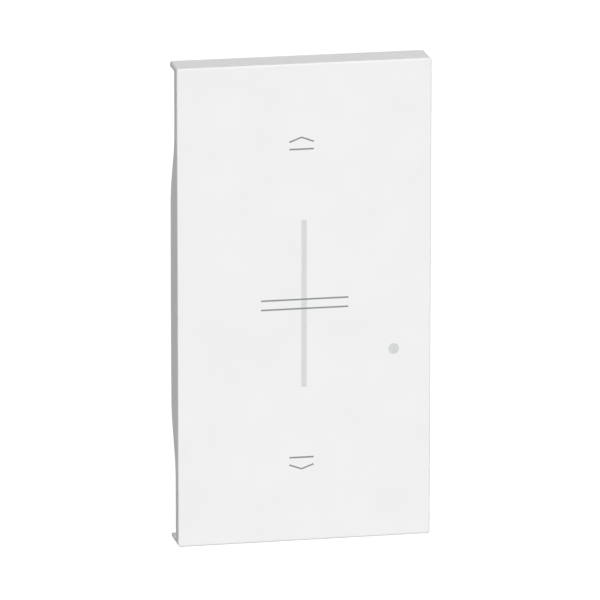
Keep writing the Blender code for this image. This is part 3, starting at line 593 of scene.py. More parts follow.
def new_tree(name, sockets):
    """An empty shape tree with the inputs that are named, and those inputs."""
    tree = bpy.data.node_groups.new(name, "GeometryNodeTree")
    for socket, kind in sockets.items():
        tree.interface.new_socket(socket, in_out="INPUT", socket_type=f"NodeSocket{kind}")
    tree.interface.new_socket("Shape", in_out="OUTPUT", socket_type="NodeSocketGeometry")
    return tree, add_node(tree, "NodeGroupInput").outputs


def end_tree(tree, shape, material):
    """Ends a tree with its shape made plain, in its finish."""
    plain = out(tree, "GeometryNodeRealizeInstances", {0: shape})
    finished = out(tree, "GeometryNodeSetMaterial", {"Geometry": plain, "Material": material})
    add_node(tree, "NodeGroupOutput", {"Shape": finished})
    return tree


def sweep(tree, path, section):
    inputs = {"Curve": path, "Profile Curve": section, "Fill Caps": True}
    return out(tree, "GeometryNodeCurveToMesh", inputs)


def row_tree(name, sizes, make_shape):
    """A tree that puts one shape, turned by an angle about each axis, on every point that it is given."""
    sockets = {"Places": "Geometry"} | sizes | {"Turn": "Rotation", "Finish": "Material"}
    tree, given = new_tree(name, sockets)
    inputs = {"Points": given["Places"], "Instance": make_shape(tree, given), "Rotation": given["Turn"]}
    return end_tree(tree, out(tree, "GeometryNodeInstanceOnPoints", inputs), given["Finish"])


def swept_tree(name, sizes, make_section, normal=None):
    """A tree that draws a section along the splines that it is given, one side of it facing a normal."""
    tree, given = new_tree(name, {"Path": "Geometry"} | sizes | {"Finish": "Material"})
    path = given["Path"]
    if normal:
        path = out(tree, "GeometryNodeSetCurveNormal", {"Curve": path, "Normal": normal}, mode="FREE")
    swept = sweep(tree, path, make_section(tree, given))
    return end_tree(tree, swept, given["Finish"])


def grow(name, source, tree, sizes):
    """Runs a shape tree on source data, with its sizes set by name, and returns the plain mesh piece."""
    maker = bpy.data.objects.new(name, source)
    bpy.context.scene.collection.objects.link(maker)
    modifier = maker.modifiers.new(tree.name, "NODES")
    modifier.node_group = tree
    for socket in tree.interface.items_tree:
        if socket.in_out == "INPUT" and socket.name in sizes:
            modifier[socket.identifier] = sizes[socket.name]
    mesh = plain_mesh(maker)
    bpy.data.objects.remove(maker, do_unlink=True)
    mesh.name = name
    mesh.shade_smooth()
    mesh.set_sharp_from_angle(angle=SHARP)
    piece = bpy.data.objects.new(name, mesh)
    bpy.context.scene.collection.objects.link(piece)
    return piece


def points(name, places):
    """Bare points, for a shape tree to put its shape on."""
    mesh = bpy.data.meshes.new(f"{name}_places")
    mesh.from_pydata(places, [], [])
    return mesh


def open_paths(name, paths):
    """A curve with one open spline for each list of points."""
    curve = bpy.data.curves.new(name, "CURVE")
    curve.dimensions = "3D"
    for path in paths:
        spline = curve.splines.new("POLY")
        spline.points.add(len(path) - 1)
        for point, place in zip(spline.points, path):
            point.co = (*place, 1)
    return curve


def row_of_bars(name, places, size, finish):
    """Blocks of one size, each with its middle on its place."""
    sizes = {"Bar Size": size, "Finish": finishes[finish]}
    return grow(name, points(name, places), bar_row, sizes)


def row_of_cones(name, places, wide, narrow, depth, finish, turn=UNTURNED, sides=ROUND_SIDES):
    """Cones or rods, each with its first end on its place, and pointing up where it isn't turned."""
    sizes = {"Vertices": sides, "Radius Bottom": wide, "Radius Top": narrow, "Depth": depth}
    sizes |= {"Turn": turn, "Finish": finishes[finish]}
    return grow(name, points(name, places), cone_row, sizes)


# Shapes for the trees


def bar_shape(tree, given):
    return out(tree, "GeometryNodeMeshCube", {"Size": given["Bar Size"]})


def cone_shape(tree, given):
    return out(tree, "GeometryNodeMeshCone", {name: given[name] for name in CONE_SIZES})


def gusset_shape(tree, given):
    """A three-cornered rib: a block whose lower back edge is drawn up to its upper back edge."""
    size = vector(tree, X=given["Thickness"], Y=given["Reach"], Z=given["Rise"])
    bar = out(tree, "GeometryNodeMeshCube", {"Size": size})
    axes = own_place(tree)
    behind = calc(tree, "GREATER_THAN", axes["Y"], 0.0)
    below = calc(tree, "LESS_THAN", axes["Z"], 0.0)
    lift = calc(tree, "MULTIPLY", calc(tree, "MULTIPLY", behind, below), given["Rise"])
    drawn = out(tree, "GeometryNodeSetPosition", {"Geometry": bar, "Offset": vector(tree, Z=lift)})
    return out(tree, "GeometryNodeMergeByDistance", {"Geometry": drawn, "Distance": WELD})


def leg_shape(tree, given):
    """A bent leg that starts on the point, runs along X and drops along Y on its way."""
    reach, drop = given["Reach"], given["Drop"]
    far = calc(tree, "MULTIPLY", reach, LEG_BEND)
    near = calc(tree, "SUBTRACT", reach, far)
    bend = {
        "Resolution": LEG_STEPS,
        "Start": (0, 0, 0),
        "Start Handle": vector(tree, X=far),
        "End Handle": vector(tree, X=near, Y=drop),
        "End": vector(tree, X=reach, Y=drop),
    }
    path = out(tree, "GeometryNodeCurvePrimitiveBezierSegment", bend)
    upright = out(tree, "GeometryNodeSetCurveNormal", {"Curve": path}, mode="Z_UP")
    sizes = {"Width": given["Thickness"], "Height": given["Width"]}
    section = out(tree, "GeometryNodeCurvePrimitiveQuadrilateral", sizes)
    return sweep(tree, upright, section)


def ink_section(tree, given):
    sizes = {"Width": given["Ink Thickness"], "Height": given["Stroke Width"]}
    return out(tree, "GeometryNodeCurvePrimitiveQuadrilateral", sizes)


def wire_section(tree, given):
    sizes = {"Resolution": given["Sides"], "Radius": given["Wire Radius"]}
    return out(tree, "GeometryNodeCurvePrimitiveCircle", sizes)


def screw_head(tree, given):
    """A pan head on z = 0, domed towards its rim, with one slot or two crossing slots cut in it."""
    radius, height = given["Head Radius"], given["Head Height"]
    sizes = {"Vertices": ROUND_SIDES, "Side Segments": HEAD_STEPS, "Fill Segments": HEAD_RINGS}
    head = out(tree, "GeometryNodeMeshCylinder", sizes | {"Radius": radius, "Depth": height})
    axes = own_place(tree)
    squares = [calc(tree, "POWER", axes[axis], 2.0) for axis in ("X", "Y")]
    reach = calc(tree, "SQRT", calc(tree, "ADD", *squares))
    share = calc(tree, "POWER", calc(tree, "DIVIDE", reach, radius), DOME_POWER)
    on_top = calc(tree, "GREATER_THAN", axes["Z"], calc(tree, "MULTIPLY", height, HEAD_TOP_SHARE))
    drop = calc(tree, "MULTIPLY", calc(tree, "MULTIPLY", share, on_top), given["Dome"])
    down = vector(tree, Z=calc(tree, "MULTIPLY", drop, -1.0))
    domed = out(tree, "GeometryNodeSetPosition", {"Geometry": head, "Offset": down})
    cuts = [lifted(tree, domed, calc(tree, "MULTIPLY", height, 0.5))]
    depth = calc(tree, "MULTIPLY", given["Recess Depth"], 2.0)
    for x, y in (("Recess Length", "Recess Width"), ("Recess Width", "Recess Length")):
        size = vector(tree, X=given[x], Y=given[y], Z=depth)
        slot = lifted(tree, out(tree, "GeometryNodeMeshCube", {"Size": size}), height)
        operands = {0: cuts[-1], 1: slot}
        cuts.append(out(tree, "GeometryNodeMeshBoolean", operands, operation="DIFFERENCE", solver="EXACT"))
    choice = {"Switch": given["Cross"], "False": cuts[1], "True": cuts[2]}
    chosen = out(tree, "GeometryNodeSwitch", choice, input_type="GEOMETRY")
    return out(tree, "GeometryNodeMergeByDistance", {"Geometry": chosen, "Distance": WELD})


def screw_shank(tree, given):
    """A threaded shank below z = 0: a cylinder drawn in along a helix, and narrower at its tip."""
    radius, length = given["Shank Radius"], given["Shank Length"]
    sizes = {"Vertices": SHANK_SIDES, "Side Segments": SHANK_STEPS, "Radius": radius, "Depth": length}
    shank = out(tree, "GeometryNodeMeshCylinder", sizes)
    axes = own_place(tree)
    angle = calc(tree, "DIVIDE", calc(tree, "ARCTAN2", axes["Y"], axes["X"]), math.tau)
    rise = calc(tree, "DIVIDE", axes["Z"], given["Thread Pitch"])
    phase = calc(tree, "FRACT", calc(tree, "SUBTRACT", rise, angle))
    ridge = calc(tree, "MULTIPLY", calc(tree, "ABSOLUTE", calc(tree, "SUBTRACT", phase, 0.5)), 2.0)
    groove = calc(tree, "DIVIDE", calc(tree, "MULTIPLY", ridge, given["Thread Depth"]), radius)
    from_tip = calc(tree, "ADD", axes["Z"], calc(tree, "MULTIPLY", length, 0.5))
    taper = calc(tree, "MINIMUM", calc(tree, "DIVIDE", from_tip, given["Tip Taper"]), 1.0)
    tip = calc(tree, "MULTIPLY_ADD", taper, 1 - TIP_SHARE, TIP_SHARE)
    scale = calc(tree, "MULTIPLY", calc(tree, "SUBTRACT", 1.0, groove), tip)
    drawn_in = {axis: calc(tree, "MULTIPLY", axes[axis], scale) for axis in ("X", "Y")}
    place = vector(tree, **drawn_in, Z=axes["Z"])
    cut = out(tree, "GeometryNodeSetPosition", {"Geometry": shank, "Position": place})
    return lifted(tree, cut, calc(tree, "MULTIPLY", length, -0.5))


def screw_tree():
    """A tree that puts a screw on each point, all turned one way and each spun by chance on its axis."""
    lengths = (
        "Head Radius", "Head Height", "Dome", "Shank Radius", "Shank Length", "Thread Depth",
        "Thread Pitch", "Tip Taper", "Recess Length", "Recess Width", "Recess Depth",
    )
    sockets = {"Places": "Geometry"} | dict.fromkeys(lengths, "Float")
    sockets |= {"Cross": "Bool", "Tilt": "Float", "Seed": "Int", "Finish": "Material"}
    tree, given = new_tree("machine_screw", sockets)
    screw = add_node(tree, "GeometryNodeJoinGeometry", {0: screw_shank(tree, given)})
    tree.links.new(screw_head(tree, given), screw.inputs[0])
    turn = out(tree, "FunctionNodeEulerToRotation", {0: vector(tree, X=given["Tilt"])})
    inputs = {"Points": given["Places"], "Instance": screw.outputs[0], "Rotation": turn}
    placed = out(tree, "GeometryNodeInstanceOnPoints", inputs)
    limits = {"Min": (0, 0, -SCREW_SPIN), "Max": (0, 0, SCREW_SPIN), "Seed": given["Seed"]}
    chance = out(tree, "FunctionNodeRandomValue", limits, data_type="FLOAT_VECTOR")
    spin = out(tree, "FunctionNodeEulerToRotation", {0: chance})
    spun = out(tree, "GeometryNodeRotateInstances", {"Instances": placed, "Rotation": spin})
    return end_tree(tree, spun, given["Finish"])


# Finishes


def new_finish(name):
    material = bpy.data.materials.new(name)
    material.use_nodes = True
    return material, material.node_tree, material.node_tree.nodes["Principled BSDF"]


def speckle(tree, size, low, high, stretch=(1, 1, 1)):
    """A value that wanders between low and high, in patches of a size."""
    place = add_node(tree, "ShaderNodeTexCoord").outputs["Object"]
    mapped = out(tree, "ShaderNodeMapping", {"Vector": place, "Scale": stretch})
    noise = out(tree, "ShaderNodeTexNoise", {"Vector": mapped, "Scale": 1 / size, "Detail": NOISE_DETAIL})
    wander = {"Value": noise, "From Min": NOISE_LOW, "From Max": NOISE_HIGH, "To Min": low, "To Max": high}
    return out(tree, "ShaderNodeMapRange", wander)


def tint(tree, share, first, second):
    """A colour that goes from the first to the second with a share. Each is a colour or a node's output."""
    inputs = {0: share}
    for place, colour in zip(MIX_COLOURS, (first, second)):
        inputs[place] = colour if isinstance(colour, bpy.types.NodeSocket) else (*colour, 1)
    return add_node(tree, "ShaderNodeMix", inputs, data_type="RGBA").outputs[MIX_RESULT]


def grain(tree, size, depth, stretch=(1, 1, 1)):
    height = speckle(tree, size, 0.0, 1.0, stretch)
    return out(tree, "ShaderNodeBump", {"Height": height, "Distance": depth})


def moulded_plastic(name, dark, light, roughness, grain_size, grain_depth, specular=0.5):
    """Plastic from a mould: a faint cloudiness, uneven gloss and a fine grain."""
    material, tree, shader = new_finish(name)
    look = {
        "Base Color": tint(tree, speckle(tree, PLASTIC_CLOUD, 0, 1), dark, light),
        "Roughness": speckle(tree, PLASTIC_GLOSS, *roughness),
        "Specular IOR Level": specular,
        "Normal": grain(tree, grain_size, grain_depth),
    }
    set_inputs(tree, shader, look)
    return material


def drawn_metal(name, dark, light, roughness, stretch, line_size, line_depth):
    """Metal with fine lines along the way that it was rolled or drawn."""
    material, tree, shader = new_finish(name)
    look = {
        "Base Color": tint(tree, speckle(tree, METAL_CLOUD, 0, 1), dark, light),
        "Metallic": 1.0,
        "Roughness": speckle(tree, line_size, *roughness, stretch),
        "Normal": grain(tree, line_size, line_depth, stretch),
    }
    set_inputs(tree, shader, look)
    return material


def printing_ink(name, dark, light):
    material, tree, shader = new_finish(name)
    look = {
        "Base Color": tint(tree, speckle(tree, INK_CLOUD, 0, 1), dark, light),
        "Roughness": INK_ROUGHNESS,
        "Specular IOR Level": INK_SPECULAR,
    }
    set_inputs(tree, shader, look)
    return material


def light_guide_plastic(name, dark, light):
    """Milky plastic that lets a little light through."""
    material, tree, shader = new_finish(name)
    look = {
        "Base Color": tint(tree, speckle(tree, GUIDE_CLOUD, 0, 1), dark, light),
        "Roughness": speckle(tree, GUIDE_GLOSS, *GUIDE_ROUGHNESS),
        "Specular IOR Level": GUIDE_SPECULAR,
        "Transmission Weight": GUIDE_CLEARNESS,
    }
    set_inputs(tree, shader, look)
    return material


def circuit_board(name):
    """Green lacquer over copper on both faces, with tinned pads round painted shade that stands for their
    holes, and bare fibreglass at the edges.
    """
    material, tree, shader = new_finish(name)
    place = add_node(tree, "ShaderNodeTexCoord").outputs["Object"]
    flat = out(tree, "ShaderNodeMapping", {"Vector": place, "Rotation": FORWARD})
    cells = {"Vector": flat, "Scale": 1 / TRACK_CELL, "Randomness": TRACK_JITTER}
    square = {"voronoi_dimensions": "2D", "distance": "CHEBYCHEV"}
    near = add_node(tree, "ShaderNodeTexVoronoi", cells, feature="F1", **square).outputs
    next_near = add_node(tree, "ShaderNodeTexVoronoi", cells, feature="F2", **square).outputs
    apart = calc(tree, "SUBTRACT", next_near["Distance"], near["Distance"])
    hue = out(tree, "ShaderNodeSeparateColor", {0: near["Color"]})
    inside = calc(tree, "GREATER_THAN", apart, TRACK_GAP)
    poured = calc(tree, "MULTIPLY", inside, calc(tree, "GREATER_THAN", hue, BARE_SHARE))
    ring = {"Vector": flat, "Scale": 1 / VIA_CELL, "Randomness": VIA_JITTER}
    via = add_node(tree, "ShaderNodeTexVoronoi", ring, voronoi_dimensions="2D", feature="F1").outputs
    tinned = calc(tree, "LESS_THAN", via["Distance"], PAD_RADIUS)
    # A near-black dot in each pad is painted shade for the inside of its hole, which isn't modelled
    hole_shade_mask = calc(tree, "LESS_THAN", via["Distance"], HOLE_SHADE_RADIUS)
    pads = tint(tree, tinned, tint(tree, poured, *LACQUER), PAD_TIN)
    normal = add_node(tree, "ShaderNodeNewGeometry").outputs["Normal"]
    facing = add_node(tree, "ShaderNodeSeparateXYZ", {0: normal}).outputs["Y"]
    on_face = calc(tree, "GREATER_THAN", calc(tree, "ABSOLUTE", facing), BOARD_FACE)
    edge = tint(tree, speckle(tree, FIBRE_SIZE, 0, 1, FIBRE_STRETCH), *FIBREGLASS)
    height = calc(tree, "MAXIMUM", poured, tinned)
    look = {
        "Base Color": tint(tree, on_face, edge, tint(tree, hole_shade_mask, pads, PAINTED_HOLE_SHADE)),
        "Roughness": speckle(tree, LACQUER_GLOSS, *LACQUER_ROUGHNESS),
        "Normal": out(tree, "ShaderNodeBump", {"Height": height, "Distance": TRACK_RISE}),
    }
    set_inputs(tree, shader, look)
    return material


# The key and what moves with it


def key_back_edge():
    """What is taken off behind the key: the back of its lips, thin side walls and deeper skirts."""
    lip_inner = half_height - LIP_THICKNESS
    skirt_half = SKIRT_LENGTH / 2
    far = max(LIP_DEPTH, SKIRT_DEPTH) + 4 * OVERRUN
    upper = [
        (far, half_height + OVERRUN, 0),
        (LIP_DEPTH, half_height + OVERRUN, 0),
        (LIP_DEPTH, lip_inner, LIP_EASE),
        (RIM_DEPTH, lip_inner, LIP_EASE),
        (RIM_DEPTH, skirt_half + SKIRT_RAMP, SKIRT_EASE),
        (SKIRT_DEPTH - SKIRT_CROWN, skirt_half, SKIRT_EASE),
    ]
    crown = []
    for i in range(1, CROWN_STEPS):
        share = 1 - 2 * i / CROWN_STEPS
        crown.append((SKIRT_DEPTH - SKIRT_CROWN * share**2, share * skirt_half, 0))
    lower = [(depth, -z, ease) for depth, z, ease in reversed(upper)]
    corners = upper + crown[1:-1] + lower
    return eased_outline([(key_low.y + depth, z, ease) for depth, z, ease in corners])


def hook_outline(up):
    """A clip hook: a stem through the cradle and a barb behind it."""
    catch = cradle_back + HOOK_GAP
    top = cradle_high.z - HOOK_INSET
    hook = [
        (face_back - OVERRUN, top - HOOK_THICKNESS),
        (catch + HOOK_TIP, top - HOOK_THICKNESS),
        (catch + HOOK_TIP, top - HOOK_THICKNESS / 2),
        (catch, top + HOOK_BARB),
        (catch, top),
        (face_back - OVERRUN, top),
    ]
    return [(y, up * z) for y, z in hook]


def add_gussets(key, inner_top):
    """Small ribs in the corner between the key's face and each lip."""
    sizes = {"Thickness": GUSSET_THICKNESS, "Reach": GUSSET_REACH, "Rise": GUSSET_RISE}
    y = face_back - OVERRUN + GUSSET_REACH / 2
    for end, up in (("upper", 1), ("lower", -1)):
        name = f"{end}_gussets"
        z = up * (inner_top + OVERRUN - GUSSET_RISE / 2)
        places = points(name, [(x, y, z) for x in GUSSET_SPREAD])
        inputs = {"Turn": (0, 0 if up > 0 else math.pi, 0), "Finish": finishes["white_plastic"]}
        carve(key, grow(name, places, gusset_row, sizes | inputs), "UNION")


def make_white_key():
    back = key_low.y + max(LIP_DEPTH, SKIRT_DEPTH) + OVERRUN
    sides = (-half_width, half_width)
    shell = rounded_plate(sides, (face_y, back), (-half_height, half_height), KEY_CORNER)
    rim = [edge for edge in shell.edges if all(vert.co.y < face_y + WELD for vert in edge.verts)]
    bevel(shell, rim, EDGE_RADIUS, EDGE_STEPS)
    key = new_piece("white_key", shell)
    inner_half = half_width - SIDE_WALL
    inner_top = half_height - LIP_THICKNESS
    hollow = block((-inner_half, inner_half), (face_back, back + OVERRUN), (-inner_top, inner_top))
    round_front(hollow, HOLLOW_EASE, HOLLOW_STEPS)
    carve(key, new_piece("hollow", hollow))
    back_edge = pushed_outline(key_back_edge(), -half_width - OVERRUN, half_width + OVERRUN)
    carve(key, new_piece("back_edge", back_edge))
    for across in (-1, 1):
        middle = across * HOOK_SPREAD / 2
        for up in (-1, 1):
            hook = pushed_outline(hook_outline(up), middle - HOOK_WIDTH / 2, middle + HOOK_WIDTH / 2)
            carve(key, new_piece("hook", hook), "UNION")
    add_gussets(key, inner_top)
    ease_edges(key, KEY_EDGE_EASE)
    through = (face_y - OVERRUN, face_back + OVERRUN)
    across = bar_half + WINDOW_CLEARANCE
    up = bar_end + WINDOW_CLEARANCE
    slot = block((bar_middle - across, bar_middle + across), through, (-up, up))
    carve(key, new_piece("bar_slot", slot))
    radius = pipe_radius + WINDOW_CLEARANCE
    hole = [(0, through[0]), (radius, through[0]), (radius, through[1]), (0, through[1])]
    carve(key, new_piece("status_hole", turned(hole, pipe_middle, WINDOW_SIDES)))
    spots = []
    for x in (-EJECTOR_ACROSS, 0, EJECTOR_ACROSS):
        spots += [(x, through[1], z) for z in (-EJECTOR_UP, EJECTOR_UP)]
    mark = (EJECTOR_RADIUS, EJECTOR_RADIUS, EJECTOR_DEPTH + OVERRUN)
    carve(key, row_of_cones("ejector_marks", spots, *mark, "white_plastic", FORWARD))
    fit(settle(key), "white_plastic", ["key_cover"], "rocker")


def make_light_windows():
    flange = (face_back + FLANGE_SETBACK, face_back + FLANGE_SETBACK + FLANGE_THICKNESS)
    x = (bar_middle - bar_half, bar_middle + bar_half)
    bar = new_piece("light_bar_window", block(x, (face_y, bar_high.y), (-bar_end, bar_end)))
    rim = block((bar_low.x, bar_high.x), flange, (bar_low.z, bar_high.z))
    carve(bar, new_piece("bar_flange", rim), "UNION")
    fit(settle(bar), "bar_plastic", ["level_light_bar"], "rocker")

    profile = [(0, face_y), (pipe_radius, face_y), (pipe_radius, flange[0])]
    profile += [(pipe_radius + LIGHT_FLANGE, y) for y in flange]
    profile += [(pipe_radius, flange[1]), (pipe_radius, pipe_high.y), (0, pipe_high.y)]
    pipe = new_piece("status_window", turned(profile, pipe_middle, WINDOW_SIDES))
    fit(settle(pipe), "dot_plastic", ["status_light_pipe"], "rocker")


def make_printed_marks():
    y = (key_low.y + face_y) / 2
    left, right = MARK_MIDDLE - MARK_HALF_WIDTH, MARK_MIDDLE + MARK_HALF_WIDTH
    marks = {"arrow_marks": [], "middle_lines": []}
    for up in (-1, 1):
        line, foot, tip = (up * z for z in (MARK_LINE_HEIGHT, CHEVRON_FOOT_HEIGHT, CHEVRON_TIP_HEIGHT))
        marks["arrow_marks"].append([(left, y, line), (right, y, line)])
        marks["arrow_marks"].append([(left, y, foot), (MARK_MIDDLE, y, tip), (right, y, foot)])
        z = up * CROSS_LINE_HEIGHT
        marks["middle_lines"].append([(-CROSS_LINE_HALF, y, z), (CROSS_LINE_HALF, y, z)])
    sizes = {"Stroke Width": STROKE_WIDTH, "Ink Thickness": INK_THICKNESS, "Finish": finishes["grey_ink"]}
    for name, paths in marks.items():
        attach(grow(name, open_paths(name, paths), printed_stroke, sizes), "rocker")


# Wound pieces


def spring_path(low, high, middle):
    """A compression spring that fills a box, with a closed turn at each end."""
    start = low.y + SPRING_WIRE / 2
    length = high.y - low.y - SPRING_WIRE
    closed = SPRING_TURNS * SPRING_WIRE
    share_closed = SPRING_END_TURNS / SPRING_TURNS
    count = round(SPRING_TURNS * TURN_STEPS)
    path = []
    for i in range(count + 1):
        share = i / count
        angle = math.tau * SPRING_TURNS * share
        opened = min(max((share - share_closed) / (1 - 2 * share_closed), 0), 1)
        y = start + closed * share + (length - closed) * opened
        x = middle.x + SPRING_RADIUS * math.cos(angle)
        path.append((x, y, middle.z + SPRING_RADIUS * math.sin(angle)))
    return path


def winding_path():
    """The choke's wire: up from the board, round and round the ring, and down to the board again."""
    middle = room("choke_core")[2]
    count = round(WINDING_TURNS * TURN_STEPS)
    path = []
    for i in range(count + 1):
        turn = math.tau * i / TURN_STEPS
        around = WINDING_SPAN * (i / count - 0.5)
        reach = WINDING_REACH + WINDING_RADIUS * math.cos(turn)
        y = middle.y + WINDING_RADIUS * math.sin(turn)
        path.append((middle.x + reach * math.cos(around), y, middle.z + reach * math.sin(around)))
    feet = [(place[0], middle.y - WINDING_FOOT, place[2]) for place in (path[0], path[-1])]
    return [feet[0]] + path + [feet[1]]


def wound(name, path, wire, finish):
    """A round wire along a path."""
    sizes = {"Wire Radius": wire / 2, "Sides": WIRE_SIDES, "Finish": finishes[finish]}
    return grow(name, open_paths(name, [path]), round_wire, sizes)


def make_wound_pieces():
    for end in ("upper", "lower"):
        node = f"{end}_return_spring"
        low, high, middle = room(node)
        spring = wound(f"{end}_coil_spring", spring_path(low, high, middle), SPRING_WIRE, "spring_steel")
        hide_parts(node)
        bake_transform(spring)
    choke_wire = wound("choke_wire", winding_path(), WINDING_WIRE, "enamelled_wire")
    fit(choke_wire, "enamelled_wire", ["choke_winding"])


# Screws


def make_screws(name, nodes, axis, towards, head_height, shank_radius, cross):
    """Screws in the place of some nodes, their heads towards one end of an axis (1 for Y, 2 for Z)."""
    spots = []
    for node in nodes:
        low, high, spot = room(node)
        spot[axis] = (high if towards > 0 else low)[axis] - towards * head_height
        spots.append(spot)
    width = high.x - low.x
    sizes = {
        "Head Radius": width / 2,
        "Head Height": head_height,
        "Dome": PAN_DOME,
        "Shank Radius": shank_radius,
        "Shank Length": high[axis] - low[axis] - head_height,
        "Thread Depth": THREAD_DEPTH,
        "Thread Pitch": THREAD_PITCH,
        "Tip Taper": THREAD_TAPER,
        "Recess Length": RECESS_LENGTH if cross else 2 * width,
        "Recess Width": RECESS_WIDTH,
        "Recess Depth": RECESS_DEPTH,
        "Cross": cross,
        "Tilt": -math.pi / 2 if axis == 1 else math.pi,
        "Seed": SCREW_SEED,
        "Finish": finishes["screw_steel"],
    }
    fit(grow(name, points(name, spots), machine_screw, sizes), "screw_steel", nodes)


# The rear housing


def at_back_rim(vert, high):
    """Whether a point lies on the outer edge of the housing's back."""
    across = high.x - HOUSING_CORNER - WELD
    up = high.z - FLANGE_LAND - HOUSING_CORNER - WELD
    return vert.co.y > high.y - WELD and (abs(vert.co.x) > across or abs(vert.co.z) > up)


def cut_cooling_grooves(housing, high):
    """Rows of shallow grooves, on both sides of the housing and on its top."""
    top = high.z - FLANGE_LAND
    places = [(x, GROOVE_MIDDLE_Y, top) for x in spread(GROOVE_COUNT, GROOVE_PITCH)]
    rows = {"top": (places, (GROOVE_WIDTH, GROOVE_LENGTH, 2 * GROOVE_DEPTH))}
    heights = [GROOVE_START_Z + i * GROOVE_PITCH for i in range(GROOVE_COUNT)]
    for side, x in (("left", -high.x), ("right", high.x)):
        places = [(x, GROOVE_MIDDLE_Y, z) for z in heights]
        rows[side] = (places, (2 * GROOVE_DEPTH, GROOVE_LENGTH, GROOVE_WIDTH))
    for side, (places, size) in rows.items():
        carve(housing, row_of_bars(f"{side}_grooves", places, size, "dark_plastic"))


def ream_driver_holes(housing, high):
    """A round hole with an eased mouth for the driver of each terminal screw."""
    bottom = -high.z + FLANGE_LAND - OVERRUN
    screws = [room(f"terminal_screw_{i}")[2] for i in TERMINALS]
    places = [(screw.x, screw.y, bottom) for screw in screws]
    wide = DRIVER_RADIUS + DRIVER_FLARE + OVERRUN
    narrow = DRIVER_RADIUS - OVERRUN
    hole = (DRIVER_RADIUS, DRIVER_RADIUS, FLANGE_LAND / 2)
    for name, sizes in (("driver_holes", hole), ("driver_flares", (wide, narrow, wide - narrow))):
        carve(housing, row_of_cones(name, places, *sizes, "dark_plastic"))


def flare_wire_entries(housing, high):
    """A square funnel round each wire entry."""
    cages = [room(f"terminal_cage_{i}")[2] for i in TERMINALS]
    places = [(cage.x, high.y + OVERRUN, cage.z) for cage in cages]
    wide = ENTRY_HALF + ENTRY_FLARE + OVERRUN
    narrow = ENTRY_HALF - OVERRUN
    funnel = (wide * math.sqrt(2), narrow * math.sqrt(2), wide - narrow)
    turn = (math.pi / 2, math.pi / 4, 0)
    carve(housing, row_of_cones("wire_funnels", places, *funnel, "dark_plastic", turn, ENTRY_SIDES))


def make_wall_box_housing():
    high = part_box("rear_housing")[1]
    solid = joined_copy("rear_housing")
    rim = []
    for edge in solid.edges:
        outer = any(abs(face.normal.y) < UPRIGHT_FACE for face in edge.link_faces)
        if outer and all(at_back_rim(vert, high) for vert in edge.verts):
            rim.append(edge)
    bevel(solid, rim, HOUSING_ROUND, EDGE_STEPS)
    housing = new_piece("wall_box_housing", solid)
    cut_cooling_grooves(housing, high)
    depth = (high.y - FIELD_DEPTH, high.y + OVERRUN)
    field = rounded_plate((-FIELD_HALF, FIELD_HALF), depth, (FIELD_LOW, FIELD_HIGH), FIELD_CORNER)
    carve(housing, new_piece("bare_field", field))
    ease_edges(housing, HOUSING_EASE)
    ream_driver_holes(housing, high)
    flare_wire_entries(housing, high)
    fit(settle(housing), "dark_plastic", ["rear_housing"])


# On the two boards


def make_lamps():
    """Small lamps on the control board: each a pale case with two tinned ends and a round lens in front."""
    nodes = ["status_led"] + [f"level_led_{i + 1}" for i in range(LAMP_COUNT)]
    cases = []
    ends = []
    lenses = []
    for node in nodes:
        low, high, middle = room(node)
        front = low.y + LENS_RISE
        cases.append((middle.x, (front + high.y) / 2, middle.z))
        lenses.append((middle.x, front, middle.z))
        for z in (low.z + LAMP_END / 2, high.z - LAMP_END / 2):
            ends.append((middle.x, (front + LENS_RISE + board_front) / 2, z))
    size = high - low
    case_size = (size.x, high.y - front, size.z - 2 * LAMP_END)
    end_size = (size.x, board_front - front - LENS_RISE, LAMP_END)
    lens_size = (LAMP_LENS, LAMP_LENS - LENS_DRAFT, LENS_RISE)
    fit(row_of_bars("lamp_cases", cases, case_size, "led_case"), "led_case", nodes)
    fit(row_of_bars("lamp_ends", ends, end_size, "tin"), "tin")
    fit(row_of_cones("lamp_lenses", lenses, *lens_size, "lamp_lens", FORWARD), "lamp_lens")


def make_control_chip():
    low, high, middle = room("control_chip")
    sides = (low.x + LEG_REACH, high.x - LEG_REACH)
    chip = new_piece("control_chip_case", block(sides, (low.y, high.y), (low.z, high.z)))
    ease_edges(chip, CHIP_EASE)
    corner = (sides[0] + DIMPLE_INSET, low.y + DIMPLE_DEPTH, high.z - DIMPLE_INSET)
    dimple = (DIMPLE_RADIUS, DIMPLE_RADIUS, 2 * DIMPLE_DEPTH)
    carve(chip, row_of_cones("dimple", [corner], *dimple, "dark_plastic", FORWARD))
    fit(settle(chip), "dark_plastic", ["control_chip"])
    rows = []
    for side, across in zip(sides, (-1, 1)):
        x = side - across * LEG_THICKNESS
        starts = [(x, middle.y, middle.z + z) for z in spread(LEG_COUNT, LEG_PITCH)]
        bend = {
            "Reach": across * LEG_REACH,
            "Drop": board_front - LEG_THICKNESS / 2 - middle.y,
            "Width": LEG_WIDTH,
            "Thickness": LEG_THICKNESS,
            "Finish": finishes["tin"],
        }
        rows.append(grow("legs", points("legs", starts), leg_row, bend))
    fit(gathered("control_chip_legs", rows), "tin")


def switch_case(end, low, high, middle, seat):
    """A push switch's case, cut back in front for its cover and at both sides for its legs."""
    node = f"{end}_switch_body"
    case = new_piece(f"{end}_switch_case", joined_copy(node))
    beyond = (middle.x - 2 * high.x + 2 * low.x, middle.x + 2 * high.x - 2 * low.x)
    above = (middle.z - 2 * high.z + 2 * low.z, middle.z + 2 * high.z - 2 * low.z)
    carve(case, new_piece("front", block(beyond, (low.y - OVERRUN, seat), above)))
    depth = (seat - OVERRUN, high.y + OVERRUN)
    for sides in ((beyond[0], low.x + SWITCH_LEG[0]), (high.x - SWITCH_LEG[0], beyond[1])):
        carve(case, new_piece("side", block(sides, depth, above)))
    fit(settle(case), "dark_plastic", [node])


